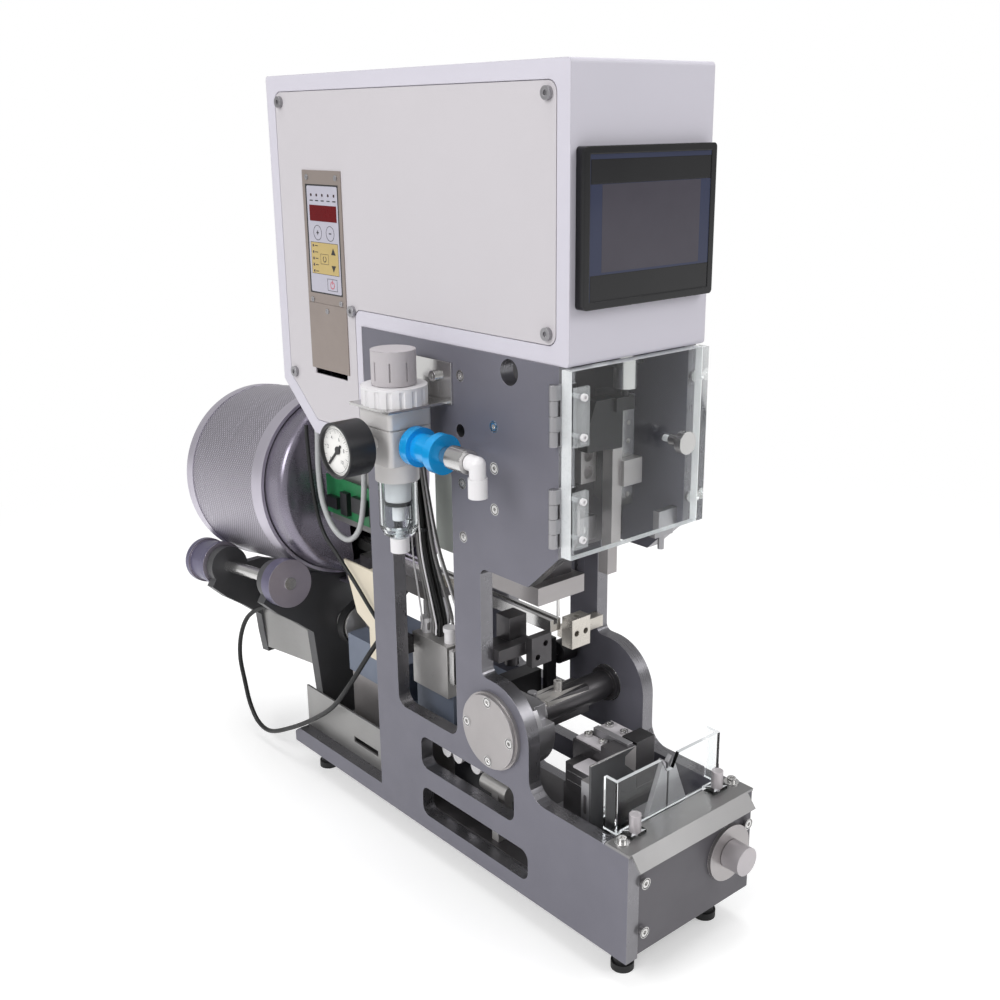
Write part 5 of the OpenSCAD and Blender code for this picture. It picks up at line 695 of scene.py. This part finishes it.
# Edges of the counterbores round the flush screws in the plates, their covers and the front panel: black
# rings of painted shade in the gaps round the heads, and bright rings for the chamfers
FRONT_SCREWS_Y = -229
PLATE_SCREW = (15, 7)  # longer than this, with a head narrower than this
GAP_R, CHAMFER_R, EDGE = 3.95, 4.55, 0.6
AWAY = {"front": (0, -1, 0), "left": (-1, 0, 0), "right": (1, 0, 0)}
lows, highs = solids(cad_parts["frame_screws"].data)
spots = {}
for lo, hi in sorted({(tuple(a), tuple(b)) for a, b in zip(lows.round(2).tolist(), highs.round(2).tolist())}):
    x, y, z = ((a + b) / 2 for a, b in zip(lo, hi))
    if lo[1] < FRONT_SCREWS_Y:
        face, spot = ("front", lo[1]), (x, z)
    elif hi[0] - lo[0] > PLATE_SCREW[0] and hi[2] - lo[2] < PLATE_SCREW[1]:
        face, spot = (("left", lo[0]), (-y, z)) if x < 0 else (("right", hi[0]), (y, z))
    else:
        continue
    spots.setdefault(face, []).append(spot)
for number, face in enumerate(sorted(spots)):
    away = AWAY[face[0]]
    plane = [abs(a) * face[1] for a in away], Vector(UP).cross(Vector(away)), UP
    # The black rings are painted shade in the gap round each head; the bright rings are the chamfers.
    for kind, r, material in (("gap_shade", GAP_R, black_oxide), ("chamfers", CHAMFER_R, bright)):
        rings = [piece for spot in spots[face] for piece in ring(*spot, r, EDGE, steps=28)]
        printed("screw_%s_%d" % (kind, number), *plane, rings, material)


# Small pieces of the gripper: clamp plates under the jaws' screws, a bar, and the left jaw's side
def block(name, low, high, material, body):
    """A box between two corners in millimetres."""
    verts = [(x * MM, y * MM, z * MM) for x in (low[0], high[0])
             for y in (low[1], high[1]) for z in (low[2], high[2])]
    faces = [(0, 1, 3, 2), (4, 6, 7, 5), (0, 4, 5, 1), (2, 3, 7, 6), (0, 2, 6, 4), (1, 5, 7, 3)]
    return mesh_object(name, verts, faces, material, body)


JAW_TOP = 151
JAW_SIDE, SIDE_BLOCK, SIDE_PLATE = -22, -38.5, -49.5  # faces towards the left, by their x
SIDE_BACK, SIDE_TOP = -166.9, 141
SLOT_Y = -162.7
block("clamp_left", (-20, -150, JAW_TOP), (-8.6, -122.5, 152.6), cover_paint, "left_jaw")
block("clamp_right", (4, -150, JAW_TOP), (19.5, -122.5, 152.6), cover_paint, "right_jaw")
block("jaw_bar", (-8, -166.5, JAW_TOP + 0.05), (-2.5, -129.5, 159), steel, "left_jaw")
block("jaw_side_plate", (SIDE_PLATE, SIDE_BACK, 97), (SIDE_BLOCK, -158.5, SIDE_TOP), steel, "left_jaw")
block("jaw_side_block", (SIDE_BLOCK, SIDE_BACK, 119), (JAW_SIDE, -130, SIDE_TOP), dark_steel, "left_jaw")
block("jaw_side_clamp", (-41, -163, SIDE_TOP), (-24, -141, 142.8), cover_paint, "left_jaw")
printed("jaw_side_lines", (SIDE_BLOCK, 0, 0), ACROSS, UP, [bar(143, z, 22, 0.7) for z in (134, 126)],
        bright, 0.3, "left_jaw")
printed("jaw_side_screw", (SIDE_PLATE, 0, 0), ACROSS, UP, [disc(-SLOT_Y, 103.5, 3.4)],
        bright, 2.6, "left_jaw")
printed("jaw_side_slot", (SIDE_PLATE, 0, 0), ACROSS, UP, [soft_bar(-SLOT_Y, 122, 3.2, 16, 1.5)],
        dark_steel, 0.1, "left_jaw")
printed("jaw_finger", (0, -169.5, 0), (1, 0, 0), UP,
        [[(-13.6, 145), (-1.7, 134), (-1.7, 156.8), (-13.6, 152)]], turned, 0.08, "left_jaw")

# Keypad of the controller, with the places of its lamps and keys
KEYPAD = (-69.3, 127.5, 0)
LAMPS_Y, LAMPS_Z = (143.6, 135.4, 127, 118.3, 109.9), (518.2, 513, 507.8, 502.6, 497.4)
PLUS_Y, MINUS_Y, KEYS_Z = 136.4, 117.8, 528.9


def at(y):
    return KEYPAD[1] - y


def keypad(name, shapes, material, lift):
    printed("keypad_" + name, KEYPAD, ACROSS, UP, shapes, material, lift)


keypad("face", [soft_bar(0, 523.2, 45, 86, 1.5)], key_grey, 0.06)
keypad("field", [soft_bar(at(127.3), 508.2, 40, 25.6, 0.6)], key_beige, 0.12)
keypad("field_line", border(at(127.3), 508.2, 40.4, 26, 0.35), ink, 0.13)
keypad("display", [bar(at(127), 544.6, 39.8, 12.8)], key_red, 0.2)
keypad("lamps", [disc(at(y), 559, 1.25) for y in LAMPS_Y] + [disc(at(144), z, 1.2) for z in LAMPS_Z],
       lamp_dark, 0.2)
keypad("marks",
       [bar(at(y), 554.6, 4.6, 0.9) for y in LAMPS_Y] + [bar(at(139.5), z, 4.4, 0.7) for z in LAMPS_Z]
       + [piece for y in (PLUS_Y, MINUS_Y) for piece in ring(at(y), KEYS_Z, 6.1, 0.4)]
       + [bar(at(y), KEYS_Z, 3.4, 0.9) for y in (PLUS_Y, MINUS_Y)] + [bar(at(PLUS_Y), KEYS_Z, 0.9, 3.4)]
       + [[(at(117.9), 512), (at(111.1), 512), (at(114.5), 517.6)],
          [(at(117.9), 503.3), (at(115), 498), (at(111.4), 503.3)]]
       + border(at(127.8), 507.8, 12, 8.4, 0.35) + ring(at(127.8), 507.8, 2.6, 0.8, 110, 420, 24)
       + border(at(118), 487.4, 14.4, 9.8, 0.35), ink, 0.16)
keypad("power", ring(at(118), 487.2, 3.1, 0.7, 115, 425, 24) + [bar(at(118), 489.6, 0.8, 3.4)],
       print_red, 0.16)

# Operator panel: the display field under the glass, and the dark bands above and below it
SCREEN = (0.5, -169.5, 547.6)
printed("screen_field", SCREEN, (1, 0, 0), UP, [bar(0.5, 0, 96, 56)], screen_dark, 0.06)
printed("screen_bands", SCREEN, (1, 0, 0), UP, [bar(0.5, 36, 117, 15.4), bar(0.5, -38, 117, 17)],
        gloss_black, 0.08)

# Pressure gauge: scale and numbers
GAUGE = (-154.95, -8, 387)
SCALE_R, NUMBER_R = 16.2, 10.4
SCALE_START, SCALE_SWEEP = 225, 270
SCALE_PARTS, NUMBER_PARTS = 40, 10


def scale_way(k, parts):
    """Direction of the mark k of the scale."""
    a = math.radians(SCALE_START - SCALE_SWEEP * k / parts)
    return math.cos(a), math.sin(a)


marks = []
for k in range(SCALE_PARTS + 1):
    c, s = scale_way(k, SCALE_PARTS)
    length, width = (3.2, 0.35) if k % 4 == 0 else (1.8, 0.2)
    marks.append([(c * r - s * e, s * r + c * e) for r, e in (
        (SCALE_R - length, -width / 2), (SCALE_R, -width / 2), (SCALE_R, width / 2),
        (SCALE_R - length, width / 2))])
printed("gauge_scale", GAUGE, ACROSS, UP, marks + ring(0, 0, SCALE_R + 0.4, 0.3), ink, 0.04)
for k in range(0, NUMBER_PARTS + 1, 2):
    c, s = scale_way(k, NUMBER_PARTS)
    text = bpy.data.curves.new("gauge_number_%d" % k, "FONT")
    text.body = str(k)
    text.size = 4.2 * MM
    text.align_x = text.align_y = "CENTER"
    text.extrude = 0.02 * MM
    text.materials.append(ink)
    obj = bpy.data.objects.new("gauge_number_%d" % k, text)
    bpy.context.scene.collection.objects.link(obj)
    place = Vector((GAUGE[0] - 0.05, GAUGE[1] - NUMBER_R * c, GAUGE[2] + NUMBER_R * s)) * MM
    obj.matrix_world = Matrix.Translation(place) @ Matrix(((0, 0, -1), (-1, 0, 0), (0, 1, 0))).to_4x4()
    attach(obj, "frame")

# Light, floor and backdrop. The sky is white to the camera and dimmer as a light.
world = bpy.data.worlds.new("studio")
bpy.context.scene.world = world
world.use_nodes = True
sky = world.node_tree
rays = add_node(sky, "ShaderNodeLightPath").outputs
seen = add_node(sky, "ShaderNodeMath", {0: rays["Is Camera Ray"], 1: rays["Is Transmission Ray"]},
                operation="MAXIMUM").outputs[0]
level = add_node(sky, "ShaderNodeMapRange", {"Value": seen, "To Min": 0.5, "To Max": 1.0}).outputs[0]
sky.nodes["Background"].inputs["Color"].default_value = (1, 1, 1, 1)
sky.links.new(level, sky.nodes["Background"].inputs["Strength"])


def floor_material():
    """Pale floor that takes shadows near the part and fades to pure white away from it."""
    look = Look("studio_floor")
    look.set(Roughness=0.9)
    cloudy = look.spread(look.noise(2, 2), 0, 1)
    look.link(look.mix(cloudy, (0.8, 0.8, 0.8, 1), (0.83, 0.83, 0.83, 1)), "Base Color")
    plain = look.shader.outputs[0]
    glow = look.node("ShaderNodeEmission", {"Color": (1, 1, 1, 1), "Strength": 0.34})
    lit = look.node("ShaderNodeAddShader", {0: plain, 1: glow.outputs[0]})
    white = look.node("ShaderNodeEmission", {"Color": (1, 1, 1, 1), "Strength": 1.0})
    far = look.node("ShaderNodeVectorMath", {0: look.place}, operation="LENGTH").outputs["Value"]
    fade = look.node("ShaderNodeMapRange", {"Value": far, "From Min": 0.45, "From Max": 1.3},
                     interpolation_type="SMOOTHSTEP").outputs[0]
    shown = look.node("ShaderNodeMixShader", {0: fade, 1: lit.outputs[0], 2: white.outputs[0]})
    ray = look.node("ShaderNodeLightPath").outputs
    direct = look.math("MAXIMUM", ray["Is Camera Ray"],
                       look.math("MAXIMUM", ray["Is Glossy Ray"], ray["Is Transmission Ray"]))
    look.surface(direct, plain, shown.outputs[0])
    return look.material


FLOOR = 6
floor = mesh_object("studio_floor", [(-FLOOR, -FLOOR, 0), (FLOOR, -FLOOR, 0), (FLOOR, FLOOR, 0),
                                     (-FLOOR, FLOOR, 0)], [(0, 1, 2, 3)], floor_material(), None)


def softbox(name, place, target, size, power):
    data = bpy.data.lights.new(name, "AREA")
    data.shape = "RECTANGLE"
    data.size, data.size_y = size
    data.energy = power
    obj = bpy.data.objects.new(name, data)
    bpy.context.scene.collection.objects.link(obj)
    way = (Vector(target) - Vector(place)).normalized()
    obj.rotation_euler = way.to_track_quat("-Z", "Y").to_euler()
    obj.location = place


softbox("front_light", (1.1, -1.8, 1.7), (0, 0, 0.35), (1.2, 1.2), 20)
softbox("left_light", (-1.9, -0.1, 1.5), (0, 0, 0.35), (1.4, 1.0), 26)
softbox("top_light", (0, 0.2, 2.2), (0, 0, 0.3), (1.4, 1.4), 18)
bpy.context.scene.view_settings.view_transform = "Standard"
